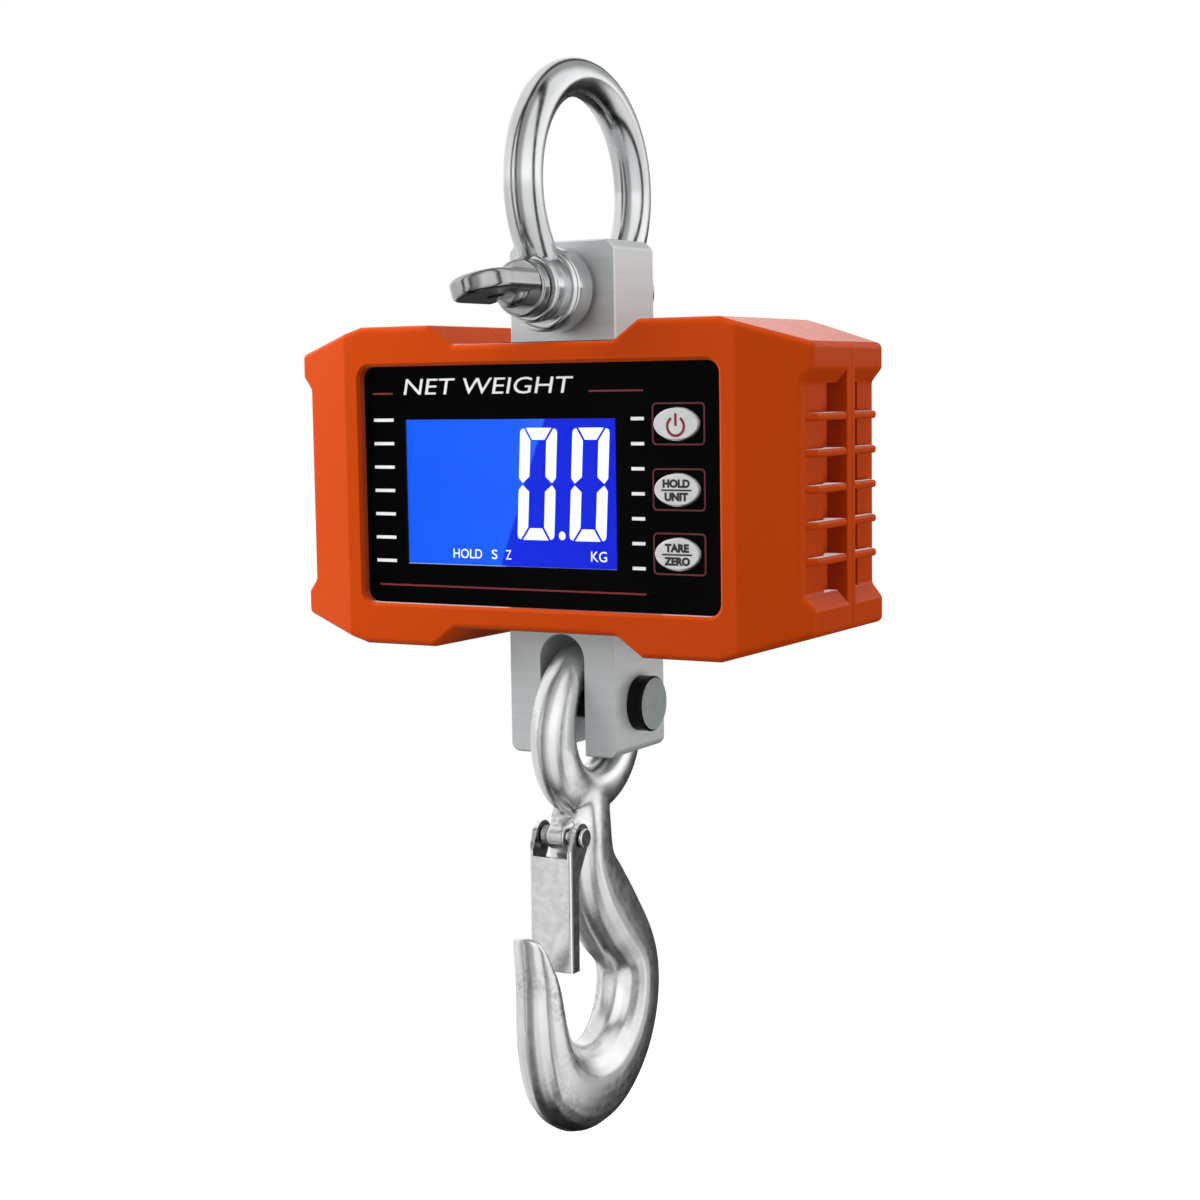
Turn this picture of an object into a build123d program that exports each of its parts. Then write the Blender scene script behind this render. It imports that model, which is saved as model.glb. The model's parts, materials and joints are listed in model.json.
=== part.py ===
"""Crane scale: an orange two-shell housing round a load block, hung from a bow shackle, with a latched hook.

Millimetres. +Z is up the line of pull, -Y is the display side and +X is the display's right.
Each part is drawn about the middle of the housing and written with the shackle's inner crown at the origin.
"""
from build123d import *
import os
from math import acos, atan2, cos, hypot, radians, sin

# Housing
HOUSING_L = 180.8
HOUSING_D = 64.0
HOUSING_H = 100.0
WALL = 3.0
PLATEAU_X = 63.0        # half length of the flat top
SHOULDER_Z = 42.0       # half height of the ends
FOLD_X = 68.8           # where the front turns into its end bevel
BEVEL_Y = 25.3          # half depth of the ends
WAIST_X = 86.7          # half length between the end blocks
WAIST_Z = 30.5          # half height of the waist
BLOCK_Z = 34.5          # where the end blocks start
NOTCH_Z = 43.9          # notch floor, above and below
NOTCH_IN = 28.3
NOTCH_OUT = 36.9
PART_Y = 1.6            # plane where the two shells meet
RIDGE_T = 5.6
CAVITY_X = 80.0
SOFT = 2.0              # rounding of the cast edges

# Ribs and grooves on the ends
RIB_COUNT = 5
RIB_PITCH = 10.4
RIB_T = 2.3
RIB_TIP_X = 89.8
RIB_Y = 21.0
GROOVE_X = 83.6
GROOVE_Y = 9.6          # half depth of the groove on each side of the ridge

# Face panel, display and keys
PANEL_Z = 0.4
PANEL_HALF_X = 63.4
PANEL_HALF_Z = 37.2
PANEL_R = 4.0
PANEL_SEAT_Y = -28.2
PANEL_T = 0.8
WALL_IN_Y = -25.2
GLASS_X = (-47.9, 27.8)
GLASS_Z = (-24.2, 20.9)
KEY_X = 48.4
KEY_Z = {"power": 19.2, "hold": 0.0, "tare": -18.9}
KEY_A = 7.4
KEY_B = 4.65
KEY_PROUD = 0.8

# Circuit board
BOARD_Y = -17.4         # back of the board
BOARD_T = 1.6
BOARD_X = (-59.0, 61.5)
BOARD_HALF_Z = 34.0
BOARD_BOSSES = [(x, z) for x in (-54.8, 57.3) for z in (-30.0, 30.0)]

# Load block
BLOCK_HALF_X = 18.9
CLEVIS_HALF_Y = 15.6
LUG_HALF_Y = 12.3
LUG_TOP = 75.0
LUG_START = 37.0
CLEVIS_LOW = -84.0
SLOT_HALF = 8.0
SLOT_TOP = -46.0
SEAL_T = 2.0
BLOCK_SCREWS = [(x, z) for x in (-11.0, 11.0) for z in (-27.0, 27.0)]

# Shackle
PIN_Z = 60.0
ROD_R = 6.0
BOW_R = 33.5
BOW_Z = 92.0
EAR_IN = 14.0           # half of the jaw
EAR_OUT = 25.0
EAR_R = 13.0
BOSS_R = 10.4
FRONT_BOSS_Y = 32.0     # the front ear's boss carries the collar
REAR_BOSS_Y = 26.6
COLLAR_GAP = 0.5
PIN_R = 6.5
THREAD_R = 6.0
RUNNING = 0.05
COLLAR_R = 8.8
TAB_END = -66.0
TAB_T = 6.0
TAB_HALF = 9.6
TAB_TILT = -14.0

# Hook and latch
HOOK_PIN_Z = -68.5
HOOK_PIN_R = 6.0
HEAD_R = 8.7
HEAD_X = 24.0
EYE_R = 20.6
EYE_ROD = 6.8
EYE_Z = -76.0
LATCH_Y = -15.6
LATCH_Z = -110.3
LATCH_PIN_R = 2.0
LATCH_HALF = 7.6
LATCH_T = 1.4
LATCH_PLATE_Y = -22.4
LATCH_LOW = -152.0

# Battery bay, behind the display's right
CELL_R = 7.1
CELL_L = 50.2
CELL_PITCH = 14.4
CELL_X = 43.0
CELL_Y = 18.9
TRAY_HALF_X = 22.8
TRAY_HALF_Z = 28.4
TRAY_Y = (10.0, 26.8)
COVER_HALF_X = 24.0
COVER_HALF_Z = 37.0
COVER_T = 1.6
COVER_SCREW_Z = 33.0
COVER_SEAT_Y = 29.9
COVER_SCREW_R = 1.4
BAY_HALF_X = 22.2
BAY_HALF_Z = 27.8

# Fastenings
CORNER_SCREWS = [(x, z) for x in (-73.5, 73.5) for z in (-36.5, 36.5)]
EDGE_SCREWS = [(x, z) for x in (-50.0, 50.0) for z in (-41.6, 41.6)]
SHELL_SCREWS = CORNER_SCREWS + EDGE_SCREWS
SHELL_SCREW_R = 1.9
SHELL_SCREW_END = -12.0
SCREW_HEAD_R = 3.6
SCREW_SEAT_Y = 26.0
FRONT_BOSS_R = 4.2
REAR_BOSS_R = 5.8
BLOCK_SCREW_R = 2.4
BLOCK_HEAD_R = 4.4
BLOCK_SCREW_END = 5.0
CLIP_IN_R = 5.2
GASKET_T = 1.0
GASKET_D = 0.8
GAUGE_Z = 10.0
GAUGE_HOLE_R = 8.0
COLLAR_T = 4.5
TAB_HOLE_Y = -51.0
LCD_FRONT = -28.1
LCD_BACK = -25.3
LIGHT_BACK = -22.4

# Hook: an inner circle for the bowl, a larger outer circle for its back, and hand-set oval sections
# given as y, z, outward angle, half depth in the hook's plane and half thickness
BOWL_Y = -1.0
BOWL_Z = -162.3
BOWL_R = 16.7
BACK_Y = 2.5
BACK_Z = -167.0
BACK_R = 40.4
FRONT_TAPER = 0.09
HOOK_NECK = [(-0.8, -95.0, 0, 9.0, 6.4), (-2.6, -107.0, 0, 10.2, 9.4), (-1.5, -119.0, 12, 11.0, 9.3),
             (4.0, -130.5, 32, 11.8, 9.0), (14.5, -141.5, 38, 12.6, 8.8)]
HOOK_TIP = [(-28.4, -155.5, -184, 7.2, 6.3), (-31.2, -148.0, -196, 5.9, 5.5), (-33.8, -142.5, -208, 4.4, 4.3),
            (-35.2, -140.2, -212, 2.6, 2.5)]
LUG_R = 4.2
LUG_HALF = 3.2
HOOK_LEAN = -3.4        # the free hook hangs with its mass under the pin
LATCH_REST = 3.0        # the latch's angle on the hook when it is shut

HANG_Z = BOW_Z + BOW_R - ROD_R


def box(x0, x1, y0, y1, z0, z1):
    return Pos((x0 + x1) / 2, (y0 + y1) / 2, (z0 + z1) / 2) * Box(x1 - x0, y1 - y0, z1 - z0)


def rod_y(x, z, r, y0, y1):
    """A cylinder along Y."""
    return Pos(x, (y0 + y1) / 2, z) * Rot(90, 0, 0) * Cylinder(r, y1 - y0)


def rod_x(y, z, r, x0, x1):
    """A cylinder along X."""
    return Pos((x0 + x1) / 2, y, z) * Rot(0, 90, 0) * Cylinder(r, x1 - x0)


def plate(sketch, y0, y1):
    """A sketch drawn as X and Z, made solid from y0 to y1."""
    face = Plane(origin=(0, y0, 0), x_dir=(1, 0, 0), z_dir=(0, -1, 0)) * sketch
    return extrude(face, y1 - y0, dir=(0, 1, 0))


def mirrored(quarter):
    """A closed outline from the points of its upper right quarter, read from the top middle to the right."""
    right = quarter + [(x, -z) for x, z in reversed(quarter)]
    return right + [(-x, z) for x, z in reversed(right)]


def outline(points):
    return make_face(Polyline(points, close=True))


def rounded_box(half_x, half_z, radius, y0, y1, x=0.0, z=0.0):
    """A plate in X and Z with rounded corners."""
    return Pos(x, 0, z) * plate(RectangleRounded(2 * half_x, 2 * half_z, radius), y0, y1)


def window(x_span, z_span, y0, y1, grow=0.0):
    return box(x_span[0] - grow, x_span[1] + grow, y0, y1, z_span[0] - grow, z_span[1] + grow)


def shared(face_points, plan_points):
    """The solid whose front view and plan view are these two outlines."""
    front = plate(outline(mirrored(face_points)), -HOUSING_D / 2, HOUSING_D / 2)
    return front & extrude(outline(mirrored(plan_points)), HOUSING_H, both=True)


# ---------------------------------------------------------------- housing

def housing_core():
    """The outside of both shells together, with every cast edge rounded."""
    half_x, half_z = HOUSING_L / 2, HOUSING_H / 2
    face = [(NOTCH_IN, NOTCH_Z), (NOTCH_OUT, half_z), (PLATEAU_X, half_z), (half_x, SHOULDER_Z),
            (half_x, BLOCK_Z), (WAIST_X, WAIST_Z)]
    core = shared(face, [(FOLD_X, HOUSING_D / 2), (half_x, BEVEL_Y)])
    return fillet(core.edges(), SOFT)


def cavity_face():
    """The inside outline of the top, bottom and ends, one wall inside the outer one."""
    top = HOUSING_H / 2 - WALL
    low = NOTCH_Z - WALL
    slope = (HOUSING_H / 2 - SHOULDER_Z) / (HOUSING_L / 2 - PLATEAU_X)
    return [(NOTCH_IN + 1.0, low), (NOTCH_OUT + 1.0, top), (PLATEAU_X - 0.8, top),
            (CAVITY_X, top - slope * (CAVITY_X - PLATEAU_X + 0.8))]


def cavity():
    back = HOUSING_D / 2 - WALL
    room = plate(outline(mirrored(cavity_face())), WALL_IN_Y, back)
    plan = outline([(-CAVITY_X, WALL_IN_Y - 1), (CAVITY_X, WALL_IN_Y - 1), (CAVITY_X, back - 3.7),
                    (CAVITY_X - 12.0, back), (12.0 - CAVITY_X, back), (-CAVITY_X, back - 3.7)])
    return room & extrude(plan, HOUSING_H, both=True)


def end_ridge(side):
    ridge = box(WAIST_X - 4.0, HOUSING_L / 2, PART_Y - RIDGE_T / 2, PART_Y + RIDGE_T / 2,
                -BLOCK_Z - 1, BLOCK_Z + 1)
    ridge = fillet(ridge.edges().filter_by(Axis.Z).sort_by(Axis.X)[-2:], 0.7)
    return ridge if side > 0 else mirror(ridge, Plane.YZ)


def end_grooves():
    """The deeper channel on each side of the ridge, at both ends."""
    grooves = []
    for side in (-1, 1):
        x0, x1 = sorted((side * GROOVE_X, side * (HOUSING_L / 2 + 1)))
        grooves.append(box(x0, x1, PART_Y - RIDGE_T / 2 - GROOVE_Y, PART_Y + RIDGE_T / 2 + GROOVE_Y,
                           -WAIST_Z, WAIST_Z))
    return grooves


def end_rib(z, side):
    """One rib, ramped at both ends and rounded along its outer edge."""
    root = WAIST_X - 4.0
    ramp = 2.6
    plan = outline([(root, -RIB_Y - ramp), (WAIST_X, -RIB_Y - ramp), (RIB_TIP_X, -RIB_Y), (RIB_TIP_X, RIB_Y),
                    (WAIST_X, RIB_Y + ramp), (root, RIB_Y + ramp)])
    rib = extrude(plan, RIB_T / 2, both=True)
    outer = [e for e in rib.edges() if e.center().X > WAIST_X + 0.5 and abs(e.center().Z) > 0.1]
    rib = Pos(0, 0, z) * fillet(outer, 0.8)
    return rib if side > 0 else mirror(rib, Plane.YZ)


def housing_outside():
    body = housing_core()
    for groove in end_grooves():
        body -= groove
    for side in (-1, 1):
        body += end_ridge(side)
        for i in range(RIB_COUNT):
            body += end_rib((i - (RIB_COUNT - 1) / 2) * RIB_PITCH, side)
    return body


def key_shape(grow, y0, y1, z):
    return Pos(KEY_X, 0, z) * plate(Ellipse(KEY_A + grow, KEY_B + grow), y0, y1)


def block_opening():
    """Room for the lug and the clevis with their seals, right through the shells."""
    half_x = BLOCK_HALF_X + SEAL_T
    lug_y, clevis_y = LUG_HALF_Y + SEAL_T, CLEVIS_HALF_Y + SEAL_T
    lug = box(-half_x, half_x, -lug_y, lug_y, LUG_START, HOUSING_H)
    clevis = box(-half_x, half_x, -clevis_y, clevis_y, -HOUSING_H, -LUG_START)
    return lug, clevis


def gasket_track(y0, y1):
    """The band just outside the cavity, less where the block passes."""
    inner = outline(mirrored(cavity_face()))
    track = plate(offset(inner, GASKET_T, kind=Kind.INTERSECTION), y0, y1) - plate(inner, y0 - 1, y1 + 1)
    for opening in block_opening():
        track -= opening
    return track


def front_shell(outside):
    shell = outside & box(-HOUSING_L, HOUSING_L, -HOUSING_D, PART_Y - 0.1, -HOUSING_H, HOUSING_H)
    shell -= cavity()
    shell -= rounded_box(PANEL_HALF_X, PANEL_HALF_Z, PANEL_R, -HOUSING_D, PANEL_SEAT_Y, z=PANEL_Z)
    lip = [e for e in shell.edges() if abs(e.center().Y + HOUSING_D / 2) < 0.01
           and abs(e.center().X) < PANEL_HALF_X + 0.1 and abs(e.center().Z - PANEL_Z) < PANEL_HALF_Z + 0.1]
    shell = chamfer(lip, 0.9)
    room = cavity()
    for x, z in SHELL_SCREWS:
        shell += rod_y(x, z, FRONT_BOSS_R, WALL_IN_Y, PART_Y - 0.1) & room
    for x, z in BOARD_BOSSES:
        shell += rod_y(x, z, 3.2, WALL_IN_Y, BOARD_Y - BOARD_T)
    for x, z in SHELL_SCREWS:
        shell -= rod_y(x, z, SHELL_SCREW_R + RUNNING, SHELL_SCREW_END - 1.0, PART_Y + 1)
    for x, z in BOARD_BOSSES:
        shell -= rod_y(x, z, 1.2, BOARD_Y - BOARD_T - 5.0, BOARD_Y)
    shell -= window(GLASS_X, GLASS_Z, PANEL_SEAT_Y - 1, WALL_IN_Y + 1, 2.1)
    for z in KEY_Z.values():
        shell -= key_shape(0.4, PANEL_SEAT_Y - 1, WALL_IN_Y + 1, z)
    for opening in block_opening():
        shell -= opening
    return shell - gasket_track(PART_Y - GASKET_D, PART_Y + 1)


def rear_shell(outside):
    shell = outside & box(-HOUSING_L, HOUSING_L, PART_Y + 0.1, HOUSING_D, -HOUSING_H, HOUSING_H)
    shell -= cavity()
    room = cavity()
    for x, z in SHELL_SCREWS:
        shell += rod_y(x, z, REAR_BOSS_R, PART_Y + 0.1, HOUSING_D / 2) & room
    for x, z in BLOCK_SCREWS:
        shell += rod_y(x, z, REAR_BOSS_R, CLEVIS_HALF_Y, HOUSING_D / 2 - WALL)
    for z in (-COVER_SCREW_Z, COVER_SCREW_Z):
        shell += rod_y(CELL_X, z, 3.6, 23.0, HOUSING_D / 2 - WALL)
    collar = rounded_box(TRAY_HALF_X + 1.4, TRAY_HALF_Z + 1.4, 2.0, TRAY_Y[1], HOUSING_D / 2 - WALL, x=CELL_X)
    shell += collar
    shell -= rounded_box(BAY_HALF_X, BAY_HALF_Z, 1.5, TRAY_Y[1] - 1, HOUSING_D, x=CELL_X)
    shell -= rounded_box(COVER_HALF_X + 0.25, COVER_HALF_Z + 0.25, 3.0, COVER_SEAT_Y, HOUSING_D, x=CELL_X)
    for z in (-COVER_SCREW_Z, COVER_SCREW_Z):
        shell -= rod_y(CELL_X, z, COVER_SCREW_R + RUNNING, 23.5, COVER_SEAT_Y + 1)
    for x, z in SHELL_SCREWS:
        shell -= rod_y(x, z, SHELL_SCREW_R + 0.3, PART_Y - 1, HOUSING_D)
        shell -= rod_y(x, z, SCREW_HEAD_R + 0.5, SCREW_SEAT_Y, HOUSING_D)
    for x, z in BLOCK_SCREWS:
        shell -= rod_y(x, z, BLOCK_SCREW_R + 0.3, CLEVIS_HALF_Y - 1, HOUSING_D)
        shell -= rod_y(x, z, BLOCK_HEAD_R + 0.4, SCREW_SEAT_Y, HOUSING_D)
    for opening in block_opening():
        shell -= opening
    return shell


def shell_gasket():
    return gasket_track(PART_Y - GASKET_D, PART_Y + 0.1)


def cap_screw(x, z, shank_r, head_r, seat_y, head_t, end_y, socket_r):
    """A screw driven from behind, with a hexagon socket."""
    screw = rod_y(x, z, shank_r, end_y, seat_y) + rod_y(x, z, head_r, seat_y, seat_y + head_t)
    screw = chamfer(screw.edges().filter_by(GeomType.CIRCLE).sort_by(Axis.Y)[-1], 0.3)
    socket = Pos(x, 0, z) * plate(RegularPolygon(socket_r, 6), seat_y + head_t * 0.4, seat_y + head_t + 1)
    return screw - socket


def shell_screws():
    return [cap_screw(x, z, SHELL_SCREW_R, SCREW_HEAD_R, SCREW_SEAT_Y, 2.6, SHELL_SCREW_END, 1.7)
            for x, z in SHELL_SCREWS]


def load_cell_screws():
    return [cap_screw(x, z, BLOCK_SCREW_R, BLOCK_HEAD_R, SCREW_SEAT_Y, 3.2, BLOCK_SCREW_END, 2.2)
            for x, z in BLOCK_SCREWS]


# ---------------------------------------------------------------- load block

def bevelled(block, corner, low_or_high):
    """The block with its two outer corners cut and its other edges broken."""
    level = block.faces().sort_by(Axis.Z)[low_or_high]
    block = chamfer(level.edges().filter_by(Axis.Y), corner)
    return chamfer([e for e in block.edges() if e.length > 3.0 and abs(e.center().Z) > LUG_START + 1], 0.5)


def load_cell():
    lug = box(-BLOCK_HALF_X, BLOCK_HALF_X, -LUG_HALF_Y, LUG_HALF_Y, LUG_START - 2, LUG_TOP)
    lug = bevelled(lug, 2.6, -1)
    clevis = box(-BLOCK_HALF_X, BLOCK_HALF_X, -CLEVIS_HALF_Y, CLEVIS_HALF_Y, CLEVIS_LOW, LUG_START)
    clevis = bevelled(clevis, 1.8, 0)
    block = lug + clevis
    slot_mid = SLOT_TOP - SLOT_HALF
    block -= box(-SLOT_HALF, SLOT_HALF, -20, 20, CLEVIS_LOW - 1, slot_mid)
    block -= rod_y(0, slot_mid, SLOT_HALF, -20, 20)
    block -= rod_y(0, PIN_Z, PIN_R + 0.5, -20, 20)
    block -= rod_x(0, HOOK_PIN_Z, HOOK_PIN_R + RUNNING, -20, 20)
    for z in (-GAUGE_Z, GAUGE_Z):
        block -= rod_y(0, z, GAUGE_HOLE_R, -20, 20)
    block -= box(-2.5, 2.5, -20, 20, -GAUGE_Z, GAUGE_Z)
    for x, z in BLOCK_SCREWS:
        block -= rod_y(x, z, BLOCK_SCREW_R + RUNNING, BLOCK_SCREW_END - 0.5, 20)
    return block


def block_seal(half_y, z0, z1):
    """The rubber frame that closes the gap between a shell opening and the block."""
    frame = box(-BLOCK_HALF_X - SEAL_T, BLOCK_HALF_X + SEAL_T, -half_y - SEAL_T, half_y + SEAL_T, z0, z1)
    return frame - box(-BLOCK_HALF_X, BLOCK_HALF_X, -half_y, half_y, z0 - 1, z1 + 1)


def strain_gauges():
    gauges = []
    for x in (-BLOCK_HALF_X, BLOCK_HALF_X):
        for z in (-GAUGE_Z, GAUGE_Z):
            outer = x + (0.4 if x > 0 else -0.4)
            gauges.append(box(min(x, outer), max(x, outer), -5.0, 5.0, z - 3.0, z + 3.0))
    return gauges


def hook_pin():
    pin = rod_x(0, HOOK_PIN_Z, HOOK_PIN_R, -BLOCK_HALF_X - 2.6, BLOCK_HALF_X + 0.1)
    pin = chamfer(pin.edges().filter_by(GeomType.CIRCLE).sort_by(Axis.X)[0], 0.7)
    head = rod_x(0, HOOK_PIN_Z, HEAD_R, BLOCK_HALF_X + 0.1, HEAD_X)
    head = chamfer(head.edges().filter_by(GeomType.CIRCLE).sort_by(Axis.X)[-1], 0.6)
    groove = rod_x(0, HOOK_PIN_Z, HOOK_PIN_R + 1, -BLOCK_HALF_X - 1.5, -BLOCK_HALF_X - 0.3)
    groove -= rod_x(0, HOOK_PIN_Z, CLIP_IN_R, -BLOCK_HALF_X - 2, -BLOCK_HALF_X)
    return pin + head - groove


def hook_pin_clip():
    """An open retaining ring in the pin's groove."""
    ring = rod_x(0, HOOK_PIN_Z, HOOK_PIN_R + 2.4, -BLOCK_HALF_X - 1.4, -BLOCK_HALF_X - 0.4)
    ring -= rod_x(0, HOOK_PIN_Z, CLIP_IN_R, -BLOCK_HALF_X - 2, -BLOCK_HALF_X)
    return ring - box(-30, -10, -1.6, 1.6, HOOK_PIN_Z - 12, HOOK_PIN_Z)


# ---------------------------------------------------------------- display and board

def face_panel():
    panel = rounded_box(PANEL_HALF_X - 0.2, PANEL_HALF_Z - 0.2, PANEL_R, PANEL_SEAT_Y - PANEL_T, PANEL_SEAT_Y,
                        z=PANEL_Z)
    panel -= window(GLASS_X, GLASS_Z, -HOUSING_D, 0)
    for z in KEY_Z.values():
        panel -= key_shape(0.3, -HOUSING_D, 0, z)
    return panel


def display_window():
    return window(GLASS_X, GLASS_Z, PANEL_SEAT_Y - PANEL_T, PANEL_SEAT_Y, -0.05)


def lcd_glass():
    return window(GLASS_X, GLASS_Z, LCD_FRONT, LCD_BACK, 1.7)


def lcd_backlight():
    return window(GLASS_X, GLASS_Z, LCD_BACK, LIGHT_BACK, 1.7)


def lcd_carrier():
    ring = window(GLASS_X, GLASS_Z, LIGHT_BACK, BOARD_Y - BOARD_T, 3.2)
    return ring - window(GLASS_X, GLASS_Z, LIGHT_BACK - 1, BOARD_Y, -2.0)


def key(z):
    front = PANEL_SEAT_Y - PANEL_T - KEY_PROUD
    cap = key_shape(0.0, front, WALL_IN_Y + 0.3, z)
    cap = fillet(cap.edges().sort_by(Axis.Y)[0], 0.35)
    return cap + key_shape(1.6, WALL_IN_Y + 0.3, WALL_IN_Y + 1.3, z)


def key_switches():
    front = BOARD_Y - BOARD_T
    switches = []
    for z in KEY_Z.values():
        case = box(KEY_X - 3, KEY_X + 3, front - 3.2, front, z - 3, z + 3)
        switches.append(case + rod_y(KEY_X, z, 1.7, front - 4.2, front - 3))
    return switches


def circuit_board():
    board = box(*BOARD_X, BOARD_Y - BOARD_T, BOARD_Y, -BOARD_HALF_Z, BOARD_HALF_Z)
    board = fillet(board.edges().filter_by(Axis.Y), 2.0)
    for x, z in BOARD_BOSSES:
        board -= rod_y(x, z, 1.4, BOARD_Y - 3, BOARD_Y + 1)
    return board


def board_screws():
    return [rod_y(x, z, 2.4, BOARD_Y, BOARD_Y + 1.8) + rod_y(x, z, 1.15, BOARD_Y - BOARD_T - 4.5, BOARD_Y)
            for x, z in BOARD_BOSSES]


def board_components():
    back = BOARD_Y
    parts = [box(-44, -30, back, back + 1.4, -22, -8), box(-56, -50, back, back + 2.0, -12, 2),
             box(-47, -37, back, back + 5.0, 2.5, 9.5), box(34.5, 44.5, back, back + 5.0, 10.5, 17.5),
             box(27, 33, back, back + 1.2, -20, -14), box(-40, -32, back, back + 1.6, 18, 24)]
    parts += [rod_y(x, -22.0, 3.0, back, back + 7.0) for x in (36.0, 44.0)]
    return parts


def soft_path(points):
    """Straight runs joined by the largest arcs that they allow."""
    radii = []
    for a, b, c in zip(points, points[1:], points[2:]):
        first, second = Vector(*b) - Vector(*a), Vector(*c) - Vector(*b)
        half_turn = radians(first.get_angle(second)) / 2
        radii.append(0.45 * min(first.length, second.length) / (sin(half_turn) / cos(half_turn)))
    return FilletPolyline(*points, radius=radii)


def lead(points, r):
    path = soft_path(points)
    return sweep(Plane(origin=path @ 0, z_dir=path % 0) * Circle(r), path=path)


def load_cell_cable():
    return lead([(-BLOCK_HALF_X - 0.4, 2, GAUGE_Z), (-30, 2, GAUGE_Z), (-42, -1, 6), (-42, -12.4, 6)], 1.4)


def battery_leads():
    leads = []
    for at_tray, at_plug in ((38.0, 38.0), (43.0, 41.0)):
        points = [(at_tray, TRAY_Y[0], 20), (at_tray, 3, 20), (at_plug, -5, 14), (at_plug, -12.4, 14)]
        leads.append(lead(points, 0.8))
    return leads


# ---------------------------------------------------------------- battery bay

def battery_tray():
    tray = box(CELL_X - TRAY_HALF_X, CELL_X + TRAY_HALF_X, *TRAY_Y, -TRAY_HALF_Z, TRAY_HALF_Z)
    room = box(CELL_X - TRAY_HALF_X + 1, CELL_X + TRAY_HALF_X - 1, TRAY_Y[0] + 1.2, TRAY_Y[1] + 1,
               -TRAY_HALF_Z + 1, TRAY_HALF_Z - 1)
    return tray - room


def cell(i):
    """One round cell; neighbours point opposite ways."""
    x = CELL_X + (i - 1) * CELL_PITCH
    up = 1 if i % 2 == 0 else -1
    body = Pos(x, CELL_Y, 0) * Cylinder(CELL_R, CELL_L)
    body = fillet(body.edges().filter_by(GeomType.CIRCLE), 0.6)
    return body + Pos(x, CELL_Y, up * (CELL_L / 2 + 0.5)) * Cylinder(2.7, 1.2)


def cell_contacts():
    wall = TRAY_HALF_Z - 1.0
    parts = []
    for i in range(3):
        x = CELL_X + (i - 1) * CELL_PITCH
        up = 1 if i % 2 == 0 else -1
        plus = sorted((up * wall, up * (CELL_L / 2 + 1.15)))
        minus = sorted((-up * wall, -up * (wall - 0.4)))
        parts.append(box(x - 4, x + 4, CELL_Y - 4, CELL_Y + 4, *plus))
        spring = Pos(x, CELL_Y, -up * (wall - 1.2)) * (Cylinder(3.4, 1.7) - Cylinder(2.6, 2.0))
        parts.append(box(x - 4, x + 4, CELL_Y - 4, CELL_Y + 4, *minus) + spring)
    return parts


def battery_cover():
    outer = HOUSING_D / 2
    cover = rounded_box(COVER_HALF_X, COVER_HALF_Z, 2.8, outer - COVER_T, outer, x=CELL_X)
    seat = outer - COVER_T
    rim = rounded_box(BAY_HALF_X - 0.4, BAY_HALF_Z - 0.4, 1.2, seat - 2.6, seat, x=CELL_X)
    rim -= rounded_box(BAY_HALF_X - 2.0, BAY_HALF_Z - 2.0, 1.0, 0, seat, x=CELL_X)
    cover += rim
    for z in (-COVER_SCREW_Z, COVER_SCREW_Z):
        cover -= rod_y(CELL_X, z, 2.95, outer - 1.1, outer + 1)
        cover -= rod_y(CELL_X, z, COVER_SCREW_R + 0.15, outer - 3, outer)
    grip = [box(CELL_X - 9, CELL_X + 9, outer - 0.5, outer + 1, z - 0.7, z + 0.7) for z in (20.0, 22.6, 25.2)]
    for bar in grip:
        cover -= bar
    return cover


def cover_gasket():
    outer = HOUSING_D / 2 - COVER_T
    ring = rounded_box(BAY_HALF_X + 1.4, BAY_HALF_Z + 1.4, 2.2, COVER_SEAT_Y, outer, x=CELL_X)
    return ring - rounded_box(BAY_HALF_X, BAY_HALF_Z, 1.5, COVER_SEAT_Y - 1, outer + 1, x=CELL_X)


def cover_screws():
    outer = HOUSING_D / 2
    screws = []
    for z in (-COVER_SCREW_Z, COVER_SCREW_Z):
        screw = rod_y(CELL_X, z, COVER_SCREW_R, 25.0, outer - 1.1) + rod_y(CELL_X, z, 2.8, outer - 1.1, outer)
        screws.append(screw - box(CELL_X - 2.0, CELL_X + 2.0, outer - 0.6, outer + 1, z - 0.4, z + 0.4))
    return screws


# ---------------------------------------------------------------- shackle

def bow_path():
    """Up from one ear, round the crown and down to the other, as Y and Z."""
    ear_y = (EAR_IN + EAR_OUT) / 2
    to_ear = Vector(ear_y, PIN_Z - BOW_Z)
    turn = atan2(to_ear.Y, to_ear.X) + acos(BOW_R / to_ear.length)
    side_y, side_z = BOW_R * cos(turn), BOW_Z + BOW_R * sin(turn)
    left = Line((0, -ear_y, PIN_Z), (0, -side_y, side_z))
    crown = ThreePointArc((0, -side_y, side_z), (0, 0, BOW_Z + BOW_R), (0, side_y, side_z))
    right = Line((0, side_y, side_z), (0, ear_y, PIN_Z))
    return Wire([left, crown, right])


def shackle_ear(boss_y):
    """The ear on the +Y side, with a round boss up to boss_y."""
    disc = rod_y(0, PIN_Z, EAR_R, EAR_IN, EAR_OUT)
    disc = fillet(disc.edges().filter_by(GeomType.CIRCLE), 2.0)
    boss = rod_y(0, PIN_Z, BOSS_R, EAR_IN + 2, boss_y)
    return disc + fillet(boss.edges().filter_by(GeomType.CIRCLE).sort_by(Axis.Y)[-1], 1.2)


def shackle_bow():
    path = bow_path()
    bow = sweep(Plane(origin=path @ 0, z_dir=path % 0) * Circle(ROD_R), path=path)
    bow += shackle_ear(REAR_BOSS_Y)
    bow += mirror(shackle_ear(FRONT_BOSS_Y), Plane.XZ)
    bow -= box(-20, 20, -EAR_IN, EAR_IN, PIN_Z - 20, PIN_Z + 18)
    bow -= rod_y(0, PIN_Z, PIN_R + RUNNING, -40, 0)
    return bow - rod_y(0, PIN_Z, THREAD_R + RUNNING, 0, 40)


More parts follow.
